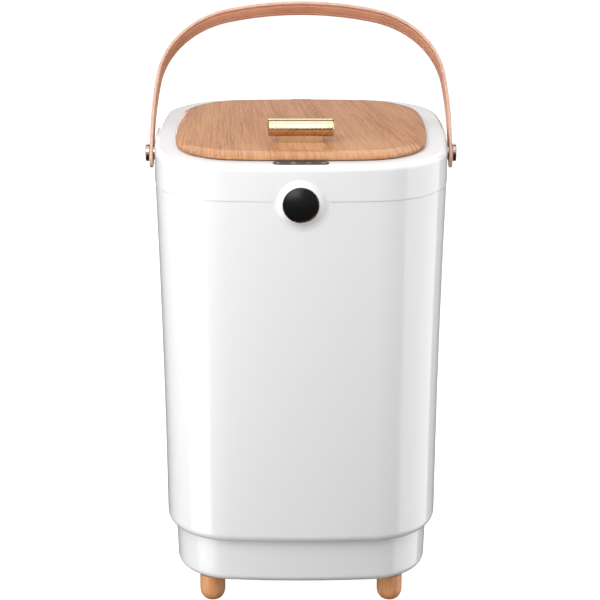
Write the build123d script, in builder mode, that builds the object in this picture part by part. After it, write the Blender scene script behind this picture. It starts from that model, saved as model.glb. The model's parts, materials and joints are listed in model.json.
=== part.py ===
"""Bucket-shaped kitchen-waste compactor with a hinged wooden lid, a carrying bail and wooden feet.

The origin is on the floor under the centre of the body.  +X is to the right, +Y to the back, +Z up.
All sizes are in millimetres.
"""
import os
from math import acos, cos, hypot, pi, radians, sin, tan

from build123d import *

os.makedirs("parts", exist_ok=True)

# ---- Driving dimensions -----------------------------------------------------------------------
# Body plan: a square with round corners and gently bulged sides, widest at the rim.
HALF_WIDTH = 150.0
HALF_DEPTH = 142.0
CORNER_RADIUS = 76.0
SIDE_BULGE = 3.0
FRONT_BULGE = 3.0
WALL = 3.0

# Heights.
FOOT_HEIGHT = 30.0
BASE_FLOOR_TOP = 33.0
BASE_TOP = 79.0
SPIGOT_TOP = 90.0
DECK_BOTTOM = 150.0
DECK_TOP = 153.0
PIVOT_Z = 463.5
SEAM_Z = 451.0
RIM_Z = 487.0

# Shell: the inset of its outline inside the widest outline, at three heights.
SHELL_TOP_INSET = 0.3
SHELL_WAIST = (330.0, 3.0)
SHELL_FOOT_INSET = 5.3
SHELL_FOOT_FILLET = 9.5
RIM_FILLET = 6.0

# Reveal groove round the seam between shell and collar.
REVEAL_HEIGHT = 1.0
REVEAL_DEPTH = 0.7

# Base housing.
BASE_TOP_INSET = 14.0
BASE_BOTTOM_INSET = 15.5
BASE_INNER_INSET = 19.0
SPIGOT_INSET = 17.2
BASE_FILLET = 8.0
FOOT_RADIUS = 13.3
FOOT_FLAT = 5.0
FOOT_ROUND = 12.0
FOOT_X = 94.0
FOOT_Y = 100.0

# Throat, chamber and bucket.
THROAT_RADIUS = 110.0
THROAT_BOTTOM = 462.0
LINER_RADIUS = 106.5
BUCKET_RADIUS = 104.0
BUCKET_BOTTOM = 161.0
BUCKET_TOP = 470.0
VENT_Z = 400.0
CUTOUT_Z = 185.0

# Lid.
LID_HALF_WIDTH = 128.5
LID_HALF_DEPTH = 122.0
LID_CORNER = 64.7
LID_SIDE_BULGE = 3.0
LID_FRONT_BULGE = 2.5
LID_Y = -2.0
LID_BOTTOM = 488.2
LID_TOP = 494.0
PLUG_RADIUS = 107.0
PLUG_BOTTOM = 474.0
HINGE_Y = 128.5
HINGE_Z = 483.0
KNUCKLE_RADIUS = 4.0
PULL_RADIUS = 9.0
PULL_LENGTH = 65.6
PULL_Y = -73.0
PULL_Z = 508.5

# Bail: a flat strap bent to a round-cornered arch, leaning back from its pivots at rest.
BAIL_LEAN = 45.0
BAIL_HALF_WIDTH = 156.6
BAIL_RISE = 180.7
BAIL_DATUM = 20.0
BAIL_CORNER = 97.8
BAIL_SIDE_BULGE = 3.6
BAIL_TOP_BULGE = 6.7
BAIL_TAIL = 16.5
STRAP_THICKNESS = 3.4
STRAP_WIDTH = 22.5
BOLT_RADIUS = 4.0

# Display and indicator strip.
DISPLAY_Z = 449.0
BOSS_RADIUS = 29.0
BOSS_HEIGHT = 4.0
LENS_RADIUS = 17.3
STRIP_Y = -130.2
STRIP_LENGTH = 55.0
STRIP_WIDTH = 11.2
ICON_PITCH = 14.9

# Drive train.
GEAR_MODULE = 2.0
GEAR_TEETH = 64
PINION_TEETH = 16
GEAR_BOTTOM = 118.0
GEAR_THICKNESS = 12.0
MOTOR_Y = -GEAR_MODULE * (GEAR_TEETH + PINION_TEETH) / 2
SHAFT_RADIUS = 5.0
SHAFT_BOTTOM = 104.0
MOTOR_SHAFT_RADIUS = 3.0
RUNNING_GAP = 0.06

# Blower and filter.
BLOWER_X = -75.0
BLOWER_Y = -40.0
BLOWER_BOTTOM = 45.0
BLOWER_TOP = 85.0


# ---- Shared outlines --------------------------------------------------------------------------
def bulge_tangent(half, corner_radius, bulge, along):
    """Where a side's shallow arc meets the corner arc, as distances outward and along the side."""
    side_radius = corner_radius + (bulge**2 + along**2) / (2 * bulge)
    share = side_radius / (side_radius - corner_radius)
    side_centre = half - side_radius
    corner_centre = half - bulge - corner_radius
    return side_centre + (corner_centre - side_centre) * share, along * share


def corner_middle(centre_x, centre_y, radius, first, second):
    """Point of a corner arc half way between its two tangent points."""
    across_x = first[0] + second[0] - 2 * centre_x
    across_y = first[1] + second[1] - 2 * centre_y
    length = hypot(across_x, across_y)
    return centre_x + radius * across_x / length, centre_y + radius * across_y / length


class BulgedPlan(BaseSketchObject):
    """Rectangle with round corners and gently bulged sides, centred on the origin."""

    def __init__(self, half_x, half_y, radius, side_bulge, front_bulge, mode: Mode = Mode.ADD):
        centre_x = half_x - side_bulge - radius
        centre_y = half_y - front_bulge - radius
        side_x, side_y = bulge_tangent(half_x, radius, side_bulge, centre_y)
        front_y, front_x = bulge_tangent(half_y, radius, front_bulge, centre_x)
        mid_x, mid_y = corner_middle(centre_x, centre_y, radius, (side_x, side_y), (front_x, front_y))
        with BuildSketch() as plan:
            with BuildLine():
                for sx in (1, -1):
                    ThreePointArc((sx * side_x, -side_y), (sx * half_x, 0), (sx * side_x, side_y))
                    for sy in (1, -1):
                        corner_end = (sx * front_x, sy * front_y)
                        ThreePointArc((sx * side_x, sy * side_y), (sx * mid_x, sy * mid_y), corner_end)
                for sy in (1, -1):
                    ThreePointArc((-front_x, sy * front_y), (0, sy * half_y), (front_x, sy * front_y))
            make_face()
        super().__init__(obj=plan.sketch, mode=mode)


class BodyPlan(BulgedPlan):
    """Body plan outline, drawn a given inset inside the widest outline."""

    def __init__(self, inset: float, mode: Mode = Mode.ADD):
        half_x, half_y, radius = HALF_WIDTH - inset, HALF_DEPTH - inset, CORNER_RADIUS - inset
        super().__init__(half_x, half_y, radius, SIDE_BULGE, FRONT_BULGE, mode=mode)


class BailOutline(BaseSketchObject):
    """Arch of the bail: X across, Y away from the pivot line, with straight limbs below the datum."""

    def __init__(self, inset: float, tail: float, mode: Mode = Mode.ADD):
        half = BAIL_HALF_WIDTH - inset
        top = BAIL_RISE - inset
        radius = BAIL_CORNER - inset
        centre_x = half - BAIL_SIDE_BULGE - radius
        centre_y = top - BAIL_TOP_BULGE - radius
        side_x, side_y = bulge_tangent(half, radius, BAIL_SIDE_BULGE, centre_y - BAIL_DATUM)
        side_y = side_y + BAIL_DATUM
        top_y, top_x = bulge_tangent(top, radius, BAIL_TOP_BULGE, centre_x)
        mid_x, mid_y = corner_middle(centre_x, centre_y, radius, (side_x, side_y), (top_x, top_y))
        with BuildSketch() as arch:
            with BuildLine():
                for sx in (1, -1):
                    Line((sx * half, -tail), (sx * half, BAIL_DATUM))
                    TangentArc((sx * half, BAIL_DATUM), (sx * side_x, side_y), tangent=(0, 1))
                    ThreePointArc((sx * side_x, side_y), (sx * mid_x, mid_y), (sx * top_x, top_y))
                ThreePointArc((-top_x, top_y), (0, top), (top_x, top_y))
                Line((-half, -tail), (half, -tail))
            make_face()
        super().__init__(obj=arch.sketch, mode=mode)


class GearOutline(BaseSketchObject):
    """Spur gear outline with involute flanks; tooth 0 is centred on the turned X axis."""

    PRESSURE_ANGLE = radians(20)
    BACKLASH = 0.25
    FLANK_STEPS = 5

    def __init__(self, teeth: int, turn: float, bore: float, mode: Mode = Mode.ADD):
        pitch_radius = GEAR_MODULE * teeth / 2
        base_radius = pitch_radius * cos(self.PRESSURE_ANGLE)
        tip_radius = pitch_radius + 0.9 * GEAR_MODULE
        root_radius = pitch_radius - 1.25 * GEAR_MODULE
        start_radius = max(base_radius, root_radius)

        def involute(radius):
            slant = acos(min(1.0, base_radius / radius))
            return tan(slant) - slant

        half_tooth = (pi * GEAR_MODULE / 2 - self.BACKLASH) / (2 * pitch_radius) + involute(pitch_radius)
        flank = []
        for step in range(self.FLANK_STEPS + 1):
            radius = start_radius + (tip_radius - start_radius) * step / self.FLANK_STEPS
            flank.append((radius, half_tooth - involute(radius)))
        rise = [(root_radius, -half_tooth)] + [(radius, -angle) for radius, angle in flank]
        fall = [(radius, angle) for radius, angle in reversed(flank)] + [(root_radius, half_tooth)]
        points = []
        for tooth in range(teeth):
            centre = radians(turn) + 2 * pi * tooth / teeth
            for radius, angle in rise + fall:
                points.append((radius * cos(centre + angle), radius * sin(centre + angle)))
        with BuildSketch() as gear:
            with BuildLine():
                Polyline(*points, close=True)
            make_face()
            Circle(bore, mode=Mode.SUBTRACT)
        super().__init__(obj=gear.sketch, mode=mode)


# ---- Base housing and feet --------------------------------------------------------------------
FILTER_WIDTH = 68.0
FILTER_BOTTOM = 40.0
FILTER_HEIGHT = 34.0
FILTER_FRONT = 48.0
COVER_MARGIN = 5.0
COVER_WIDTH = FILTER_WIDTH + 2 * COVER_MARGIN - 0.8
COVER_HEIGHT = FILTER_HEIGHT + 2 * COVER_MARGIN - 6.8
POST_X = 104.0
POST_Y = 72.0
VENT_PITCH = 8.0

with BuildPart() as base_cavity:
    with BuildSketch(Plane.XY.offset(BASE_FLOOR_TOP)):
        BodyPlan(BASE_INNER_INSET)
    extrude(amount=SPIGOT_TOP - BASE_FLOOR_TOP)
    fillet(base_cavity.edges().group_by(Axis.Z)[0], BASE_FILLET / 2)

with BuildPart() as base_housing:
    with BuildSketch(Plane.XY.offset(FOOT_HEIGHT)):
        BodyPlan(BASE_BOTTOM_INSET)
    with BuildSketch(Plane.XY.offset(BASE_TOP)):
        BodyPlan(BASE_TOP_INSET)
    loft()
    fillet(base_housing.edges().group_by(Axis.Z)[0], BASE_FILLET)
    with BuildSketch(Plane.XY.offset(BASE_TOP)):
        BodyPlan(SPIGOT_INSET)
    extrude(amount=SPIGOT_TOP - BASE_TOP)
    add(base_cavity.part, mode=Mode.SUBTRACT)
    with BuildSketch(Plane.XZ.offset(-HALF_DEPTH)):
        with Locations((0, FILTER_BOTTOM + FILTER_HEIGHT / 2)):
            RectangleRounded(FILTER_WIDTH, FILTER_HEIGHT, 3)
    extrude(amount=HALF_DEPTH - FILTER_FRONT - 40, mode=Mode.SUBTRACT)
    with BuildSketch(Plane.XZ.offset(-HALF_DEPTH)):
        with Locations((0, FILTER_BOTTOM + FILTER_HEIGHT / 2)):
            RectangleRounded(COVER_WIDTH + 0.8, COVER_HEIGHT + 0.8, 5)
    extrude(amount=HALF_DEPTH - 124.5, mode=Mode.SUBTRACT)
    with BuildSketch(Plane.XY.offset(FOOT_HEIGHT)):
        with GridLocations(2 * FOOT_X, 2 * FOOT_Y, 2, 2):
            Circle(2.6)
        with Locations((BLOWER_X, BLOWER_Y)):
            with GridLocations(VENT_PITCH, 0, 5, 1):
                SlotOverall(36, 3.5, rotation=90)
        with GridLocations(VENT_PITCH, 0, 7, 1):
            SlotOverall(50, 3.5, rotation=90)
    extrude(amount=WALL, mode=Mode.SUBTRACT)
base_housing.part.label = "base_housing"
export_step(base_housing.part, "parts/base_housing.step")

for row, foot_y in (("front", -FOOT_Y), ("rear", FOOT_Y)):
    for side, foot_x in (("left", -FOOT_X), ("right", FOOT_X)):
        with BuildPart() as foot:
            with BuildSketch(Plane((foot_x, foot_y, 0), x_dir=(1, 0, 0), z_dir=(0, -1, 0))):
                with BuildLine():
                    Line((0, 0), (FOOT_FLAT, 0))
                    round_width = FOOT_RADIUS - FOOT_FLAT
                    EllipticalCenterArc((FOOT_FLAT, FOOT_ROUND), round_width, FOOT_ROUND, 270, arc_size=90)
                    Line((FOOT_RADIUS, FOOT_ROUND), (FOOT_RADIUS, FOOT_HEIGHT))
                    Polyline((FOOT_RADIUS, FOOT_HEIGHT), (0, FOOT_HEIGHT), (0, 0))
                make_face()
            revolve(axis=Axis((foot_x, foot_y, 0), (0, 0, 1)))
            with BuildSketch(Plane.XY.offset(FOOT_HEIGHT)):
                with Locations((foot_x, foot_y)):
                    Circle(2.4)
            extrude(amount=-16, mode=Mode.SUBTRACT)
        foot.part.label = f"{row}_{side}_foot"
        export_step(foot.part, f"parts/{row}_{side}_foot.step")

# ---- Outer shell and top collar ---------------------------------------------------------------
INLET_Z = 116.0
GRILLE_Z = 210.0
GRILLE_WIDTH = 84.0
GRILLE_HEIGHT = 46.0
INLET_WIDTH = 50.0
INLET_HEIGHT = 30.0
BOSS_OPENING = 21.0

with BuildPart() as outer_shell:
    with BuildSketch(Plane.XY.offset(BASE_TOP)):
        BodyPlan(SHELL_FOOT_INSET)
    with BuildSketch(Plane.XY.offset(SHELL_WAIST[0])):
        BodyPlan(SHELL_WAIST[1])
    with BuildSketch(Plane.XY.offset(SEAM_Z)):
        BodyPlan(SHELL_TOP_INSET)
    loft()
    fillet(outer_shell.edges().group_by(Axis.Z)[0], SHELL_FOOT_FILLET)
    with BuildSketch(Plane.XY.offset(BASE_TOP + WALL)):
        BodyPlan(SHELL_FOOT_INSET + WALL)
    with BuildSketch(Plane.XY.offset(SHELL_WAIST[0])):
        BodyPlan(SHELL_WAIST[1] + WALL)
    with BuildSketch(Plane.XY.offset(SEAM_Z)):
        BodyPlan(SHELL_TOP_INSET + WALL)
    loft(mode=Mode.SUBTRACT)
    with BuildSketch(Plane.XY.offset(BASE_TOP)):
        BodyPlan(SPIGOT_INSET - 0.2)
    extrude(amount=WALL, mode=Mode.SUBTRACT)
    with BuildSketch(Plane.XZ.offset(HALF_DEPTH + 1)):
        with Locations((0, DISPLAY_Z)):
            Circle(BOSS_OPENING)
    extrude(amount=-20, mode=Mode.SUBTRACT)
    with BuildSketch(Plane.XZ.offset(-HALF_DEPTH - 1)):
        with Locations((0, INLET_Z)):
            RectangleRounded(INLET_WIDTH, INLET_HEIGHT, 4)
        with Locations((0, GRILLE_Z)):
            RectangleRounded(GRILLE_WIDTH, GRILLE_HEIGHT, 6)
    extrude(amount=20, mode=Mode.SUBTRACT)
    with BuildSketch(Plane.XY.offset(SEAM_Z)):
        BodyPlan(-1)
        BodyPlan(SHELL_TOP_INSET + REVEAL_DEPTH, mode=Mode.SUBTRACT)
    extrude(amount=-REVEAL_HEIGHT / 2, mode=Mode.SUBTRACT)
outer_shell.part.label = "outer_shell"
export_step(outer_shell.part, "parts/outer_shell.step")

BRACKET_HALF = 31.5
BRACKET_FRONT = 120.0
BRACKET_REAR = 136.5
BRACKET_BOTTOM = 475.0
BRACKET_WALL = 1.2

with BuildPart() as collar_cavity:
    with BuildSketch(Plane.XY.offset(SEAM_Z)):
        BodyPlan(WALL)
    extrude(amount=RIM_Z - WALL - SEAM_Z)
    fillet(collar_cavity.edges().group_by(Axis.Z)[-1], RIM_FILLET - WALL)

with BuildPart() as top_collar:
    with BuildSketch(Plane.XY.offset(SEAM_Z)):
        BodyPlan(0)
    extrude(amount=RIM_Z - SEAM_Z)
    fillet(top_collar.edges().group_by(Axis.Z)[-1], RIM_FILLET)
    add(collar_cavity.part, mode=Mode.SUBTRACT)
    with BuildSketch(Plane.XY.offset(THROAT_BOTTOM)):
        Circle(THROAT_RADIUS + 2.5)
    extrude(amount=RIM_Z - 1 - THROAT_BOTTOM)
    with BuildSketch(Plane.XY.offset(THROAT_BOTTOM)):
        Circle(THROAT_RADIUS)
    extrude(amount=RIM_Z - THROAT_BOTTOM, mode=Mode.SUBTRACT)
    with BuildSketch(Plane.XY.offset(RIM_Z)):
        with Locations((0, (BRACKET_FRONT + BRACKET_REAR) / 2)):
            Rectangle(2 * BRACKET_HALF, BRACKET_REAR - BRACKET_FRONT)
        with Locations((0, STRIP_Y)):
            SlotOverall(STRIP_LENGTH - 3, STRIP_WIDTH - 3)
    extrude(amount=-12, mode=Mode.SUBTRACT)
    with BuildSketch(Plane.YZ.offset(-HALF_WIDTH - 1)):
        with Locations((0, PIVOT_Z)):
            Circle(BOLT_RADIUS)
    extrude(amount=2 * HALF_WIDTH + 2, mode=Mode.SUBTRACT)
    with BuildSketch(Plane.XZ.offset(HALF_DEPTH + 1)):
        with Locations((0, DISPLAY_Z)):
            Circle(BOSS_OPENING)
    extrude(amount=-20, mode=Mode.SUBTRACT)
    with BuildSketch(Plane.XY.offset(SEAM_Z)):
        BodyPlan(-1)
        BodyPlan(REVEAL_DEPTH, mode=Mode.SUBTRACT)
    extrude(amount=REVEAL_HEIGHT / 2, mode=Mode.SUBTRACT)
top_collar.part.label = "top_collar"
export_step(top_collar.part, "parts/top_collar.step")

# ---- Display and indicator strip --------------------------------------------------------------
BOSS_BACK_Y = -(HALF_DEPTH - 8)
BOSS_SEAT_Y = -(HALF_DEPTH - 1.6)
BOSS_FACE_Y = -(HALF_DEPTH + BOSS_HEIGHT)
BOSS_FACE_RADIUS = 19.0
BOSS_LIP = 0.5
RING_RADIUS = 18.0

# The bezel flares out like a trumpet bell until it meets the wall.
with BuildPart() as display_bezel:
    with BuildSketch(Plane.YZ):
        with BuildLine():
            Polyline(
                (BOSS_BACK_Y, DISPLAY_Z + RING_RADIUS),
                (BOSS_BACK_Y, DISPLAY_Z + BOSS_OPENING - 0.2),
                (BOSS_SEAT_Y, DISPLAY_Z + BOSS_OPENING - 0.2),
                (BOSS_SEAT_Y, DISPLAY_Z + BOSS_RADIUS),
                (BOSS_SEAT_Y - 0.6, DISPLAY_Z + BOSS_RADIUS),
            )
            Spline(
                (BOSS_SEAT_Y - 0.6, DISPLAY_Z + BOSS_RADIUS),
                (BOSS_FACE_Y + BOSS_LIP, DISPLAY_Z + BOSS_FACE_RADIUS),
                tangents=((-0.09, -1), (-0.8, -0.6)),
            )
            ThreePointArc(
                (BOSS_FACE_Y + BOSS_LIP, DISPLAY_Z + BOSS_FACE_RADIUS),
                (BOSS_FACE_Y + 0.15 * BOSS_LIP, DISPLAY_Z + BOSS_FACE_RADIUS - 0.5),
                (BOSS_FACE_Y, DISPLAY_Z + RING_RADIUS + 0.3),
            )
            Polyline(
                (BOSS_FACE_Y, DISPLAY_Z + RING_RADIUS + 0.3),
                (BOSS_FACE_Y, DISPLAY_Z + RING_RADIUS),
                (BOSS_BACK_Y, DISPLAY_Z + RING_RADIUS),
            )
        make_face()
    revolve(axis=Axis((0, 0, DISPLAY_Z), (0, 1, 0)))
    add(outer_shell.part, mode=Mode.SUBTRACT)
    add(top_collar.part, mode=Mode.SUBTRACT)
    with BuildSketch(Plane.XZ.offset(-BOSS_BACK_Y)):
        with Locations((0, DISPLAY_Z)):
            Circle(BOSS_RADIUS + 2)
            Circle(BOSS_OPENING - 0.2, mode=Mode.SUBTRACT)
    extrude(amount=BOSS_BACK_Y - BOSS_SEAT_Y, mode=Mode.SUBTRACT)
display_bezel.part.label = "display_bezel"
export_step(display_bezel.part, "parts/display_bezel.step")

with BuildPart() as display_ring:
    with BuildSketch(Plane.XZ.offset(HALF_DEPTH + BOSS_HEIGHT + 0.5)):
        with Locations((0, DISPLAY_Z)):
            Circle(RING_RADIUS)
            Circle(LENS_RADIUS, mode=Mode.SUBTRACT)
    extrude(amount=-5)
    fillet(display_ring.edges().group_by(Axis.Y)[0], 0.25)
display_ring.part.label = "display_ring"
export_step(display_ring.part, "parts/display_ring.step")

with BuildPart() as display_lens:
    with BuildSketch(Plane.XZ.offset(HALF_DEPTH + BOSS_HEIGHT + 0.2)):
        with Locations((0, DISPLAY_Z)):
            Circle(LENS_RADIUS)
    extrude(amount=-2.4)
    fillet(display_lens.edges().group_by(Axis.Y)[0], 0.6)
display_lens.part.label = "display_lens"
export_step(display_lens.part, "parts/display_lens.step")

with BuildPart() as display_board:
    with BuildSketch(Plane.XZ.offset(-BOSS_BACK_Y)):
        with Locations((0, DISPLAY_Z)):
            Circle(RING_RADIUS - 0.5)
    extrude(amount=-1.6)
    with BuildSketch(Plane.XZ.offset(-BOSS_BACK_Y)):
        with Locations((0, DISPLAY_Z)):
            Rectangle(22, 22)
    extrude(amount=HALF_DEPTH + BOSS_HEIGHT - 2.4 + BOSS_BACK_Y)
    with BuildSketch(Plane.XZ.offset(-BOSS_BACK_Y - 1.6)):
        with Locations((0, DISPLAY_Z - 8)):
            Rectangle(14, 6)
    extrude(amount=-4)
display_board.part.label = "display_board"
export_step(display_board.part, "parts/display_board.step")

with BuildPart() as indicator_strip:
    with BuildSketch(Plane.XY.offset(RIM_Z)):
        with Locations((0, STRIP_Y)):
            SlotOverall(STRIP_LENGTH, STRIP_WIDTH)
    extrude(amount=0.6)
    fillet(indicator_strip.edges().group_by(Axis.Z)[-1], 0.3)
    with BuildSketch(Plane.XY.offset(RIM_Z)):
        with Locations((0, STRIP_Y)):
            SlotOverall(STRIP_LENGTH - 3.4, STRIP_WIDTH - 3.4)
    extrude(amount=-2)
indicator_strip.part.label = "indicator_strip"
export_step(indicator_strip.part, "parts/indicator_strip.step")

with BuildPart() as indicator_board:
    with BuildSketch(Plane.XY.offset(RIM_Z - WALL - 6)):
        with Locations((0, STRIP_Y + 1)):
            Rectangle(STRIP_LENGTH + 4, 14)
    extrude(amount=1.6)
    with BuildSketch(Plane.XY.offset(RIM_Z - WALL - 4.4)):
        with Locations((0, STRIP_Y)):
            with GridLocations(ICON_PITCH, 0, 4, 1):
                Rectangle(5, 5)
    extrude(amount=4.8)
indicator_board.part.label = "indicator_board"
export_step(indicator_board.part, "parts/indicator_board.step")

with BuildPart() as lid_switch:
    with BuildSketch(Plane.XY.offset(RIM_Z - WALL - 13)):
        with Locations((52, STRIP_Y + 5)):
            Rectangle(20, 8)
    extrude(amount=10)
    with BuildSketch(Plane.XY.offset(RIM_Z - WALL - 3)):
        with Locations((52, STRIP_Y + 5)):
            Rectangle(24, 9)
    extrude(amount=3)
lid_switch.part.label = "lid_switch"
export_step(lid_switch.part, "parts/lid_switch.step")

# ---- Lid --------------------------------------------------------------------------------------
LEAF_HALF = 10.4
LEAF_FRONT = 108.6
LEAF_SCREW_Y = LEAF_FRONT + 3.5
LEAF_SCREW_PITCH = 12.0
LEAF_BOTTOM = 487.4
LEAF_TOP = 489.6
STEM_WIDTH = 46.0
STEM_DEPTH = 10.0
PULL_SCREW_PITCH = 30.0

# The lid's top edge rolls over in a broad pillow.
PILLOW_DROP = 3.4
PILLOW_REACH = 9.0
PILLOW_RADIUS = 45.0
LID_EDGE_RADIUS = 1.6

with BuildPart() as lid_panel:
    with BuildSketch(Plane.XY.offset(LID_BOTTOM)):
        with Locations((0, LID_Y)):
            BulgedPlan(LID_HALF_WIDTH, LID_HALF_DEPTH, LID_CORNER, LID_SIDE_BULGE, LID_FRONT_BULGE)
    extrude(amount=LID_TOP - LID_BOTTOM)
    top_face = lid_panel.faces().sort_by(Axis.Z)[-1]
    chamfer(top_face.edges(), PILLOW_REACH, PILLOW_DROP, reference=top_face)
    pillow_foot = LID_TOP - PILLOW_DROP
    edge_ring = lid_panel.edges().filter_by_position(Axis.Z, pillow_foot - 0.1, pillow_foot + 0.1)
    fillet(edge_ring, LID_EDGE_RADIUS)
    fillet(lid_panel.edges().group_by(Axis.Z)[-1], PILLOW_RADIUS)
    fillet(lid_panel.edges().group_by(Axis.Z)[0], 0.6)
    with BuildSketch(Plane.XY.offset(LID_BOTTOM)):
        with Locations((0, (LEAF_FRONT - 0.1 + HALF_DEPTH) / 2)):
            Rectangle(2 * LEAF_HALF + 0.4, HALF_DEPTH - LEAF_FRONT + 0.1)
    extrude(amount=LEAF_TOP - LID_BOTTOM, mode=Mode.SUBTRACT)
    with BuildSketch(Plane.XY.offset(LID_BOTTOM)):
        with Locations((0, PULL_Y)):
            with GridLocations(PULL_SCREW_PITCH, 0, 2, 1):
                Circle(2.2)
    extrude(amount=LID_TOP - LID_BOTTOM, mode=Mode.SUBTRACT)
    with BuildSketch(Plane.XY.offset(LEAF_TOP)):
        with Locations((0, LEAF_SCREW_Y)):
            with GridLocations(LEAF_SCREW_PITCH, 0, 2, 1):
                Circle(1.5)
    extrude(amount=2.4, mode=Mode.SUBTRACT)
lid_panel.part.label = "lid_panel"
export_step(lid_panel.part, "parts/lid_panel.step")

GASKET_BOTTOM = 477.0
GASKET_TOP = 481.0
GASKET_RADIUS = 109.4

with BuildPart() as lid_liner:
    with BuildSketch(Plane.XY.offset(PLUG_BOTTOM)):
        Circle(PLUG_RADIUS)
    extrude(amount=LID_BOTTOM - PLUG_BOTTOM)
    fillet(lid_liner.edges().group_by(Axis.Z)[0], 2)
    with BuildSketch(Plane.XY.offset(PLUG_BOTTOM + 2.5)):
        Circle(PLUG_RADIUS - 4)
    extrude(amount=LID_BOTTOM - PLUG_BOTTOM - 2.5, mode=Mode.SUBTRACT)
    with BuildSketch(Plane.XY.offset(GASKET_BOTTOM)):
        Circle(PLUG_RADIUS + 1)
        Circle(PLUG_RADIUS - 1.5, mode=Mode.SUBTRACT)
    extrude(amount=GASKET_TOP - GASKET_BOTTOM, mode=Mode.SUBTRACT)
lid_liner.part.label = "lid_liner"
export_step(lid_liner.part, "parts/lid_liner.step")

with BuildPart() as lid_gasket:
    with BuildSketch(Plane.XY.offset(GASKET_BOTTOM)):
        Circle(GASKET_RADIUS)
        Circle(PLUG_RADIUS - 1.5, mode=Mode.SUBTRACT)
    extrude(amount=GASKET_TOP - GASKET_BOTTOM)
    gasket_rims = lid_gasket.edges().filter_by(GeomType.CIRCLE).group_by(SortBy.RADIUS)[-1]
    fillet(gasket_rims, 1.8)
lid_gasket.part.label = "lid_gasket"
export_step(lid_gasket.part, "parts/lid_gasket.step")

with BuildPart() as pull_bar:
    with BuildSketch(Plane.YZ.offset(-PULL_LENGTH / 2)):
        with Locations((PULL_Y, PULL_Z)):
            Circle(PULL_RADIUS)
    extrude(amount=PULL_LENGTH)
    chamfer(pull_bar.edges().filter_by(GeomType.CIRCLE), 1)
    with BuildSketch(Plane.XY.offset(LID_TOP)):
        with Locations((0, PULL_Y)):
            with GridLocations(PULL_SCREW_PITCH, 0, 2, 1):
                Circle(2)
    extrude(amount=12, mode=Mode.SUBTRACT)
pull_bar.part.label = "pull_bar"
export_step(pull_bar.part, "parts/pull_bar.step")

with BuildPart() as pull_stem:
    with BuildSketch(Plane.XY.offset(LID_TOP)):
        with Locations((0, PULL_Y)):
            RectangleRounded(STEM_WIDTH, STEM_DEPTH, 1)
    extrude(amount=PULL_Z - LID_TOP)
    with BuildSketch(Plane.YZ.offset(-STEM_WIDTH)):
        with Locations((PULL_Y, PULL_Z)):
            Circle(PULL_RADIUS)
    extrude(amount=2 * STEM_WIDTH, mode=Mode.SUBTRACT)
    with BuildSketch(Plane.XY.offset(LID_TOP)):
        with Locations((0, PULL_Y)):
            with GridLocations(PULL_SCREW_PITCH, 0, 2, 1):
                Circle(2)
    extrude(amount=12, mode=Mode.SUBTRACT)
pull_stem.part.label = "pull_stem"
export_step(pull_stem.part, "parts/pull_stem.step")

# ---- Lid hinge --------------------------------------------------------------------------------
PIN_RADIUS = 2.0
KNUCKLE_INNER_X = 10.8
PIN_HALF = 30.0
TUB_HALF = BRACKET_HALF - BRACKET_WALL

with BuildPart() as hinge_leaf:
    with BuildSketch(Plane.YZ.offset(-LEAF_HALF)):
        with BuildLine():
            Polyline(
                (LEAF_FRONT, LEAF_BOTTOM),
                (HINGE_Y - KNUCKLE_RADIUS, LEAF_BOTTOM),
                (HINGE_Y - KNUCKLE_RADIUS, HINGE_Z),
                (HINGE_Y, HINGE_Z),
                (HINGE_Y, LEAF_TOP),
                (LEAF_FRONT, LEAF_TOP),
                close=True,
            )
        make_face()
        with Locations((HINGE_Y, HINGE_Z)):
            Circle(KNUCKLE_RADIUS)
            Circle(PIN_RADIUS + RUNNING_GAP, mode=Mode.SUBTRACT)
    extrude(amount=2 * LEAF_HALF)
    with BuildSketch(Plane.XY.offset(LEAF_BOTTOM)):
        with Locations((0, LEAF_SCREW_Y)):
            with GridLocations(LEAF_SCREW_PITCH, 0, 2, 1):
                Circle(1.5)
    extrude(amount=LEAF_TOP - LEAF_BOTTOM, mode=Mode.SUBTRACT)
hinge_leaf.part.label = "hinge_leaf"
export_step(hinge_leaf.part, "parts/hinge_leaf.step")

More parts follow.
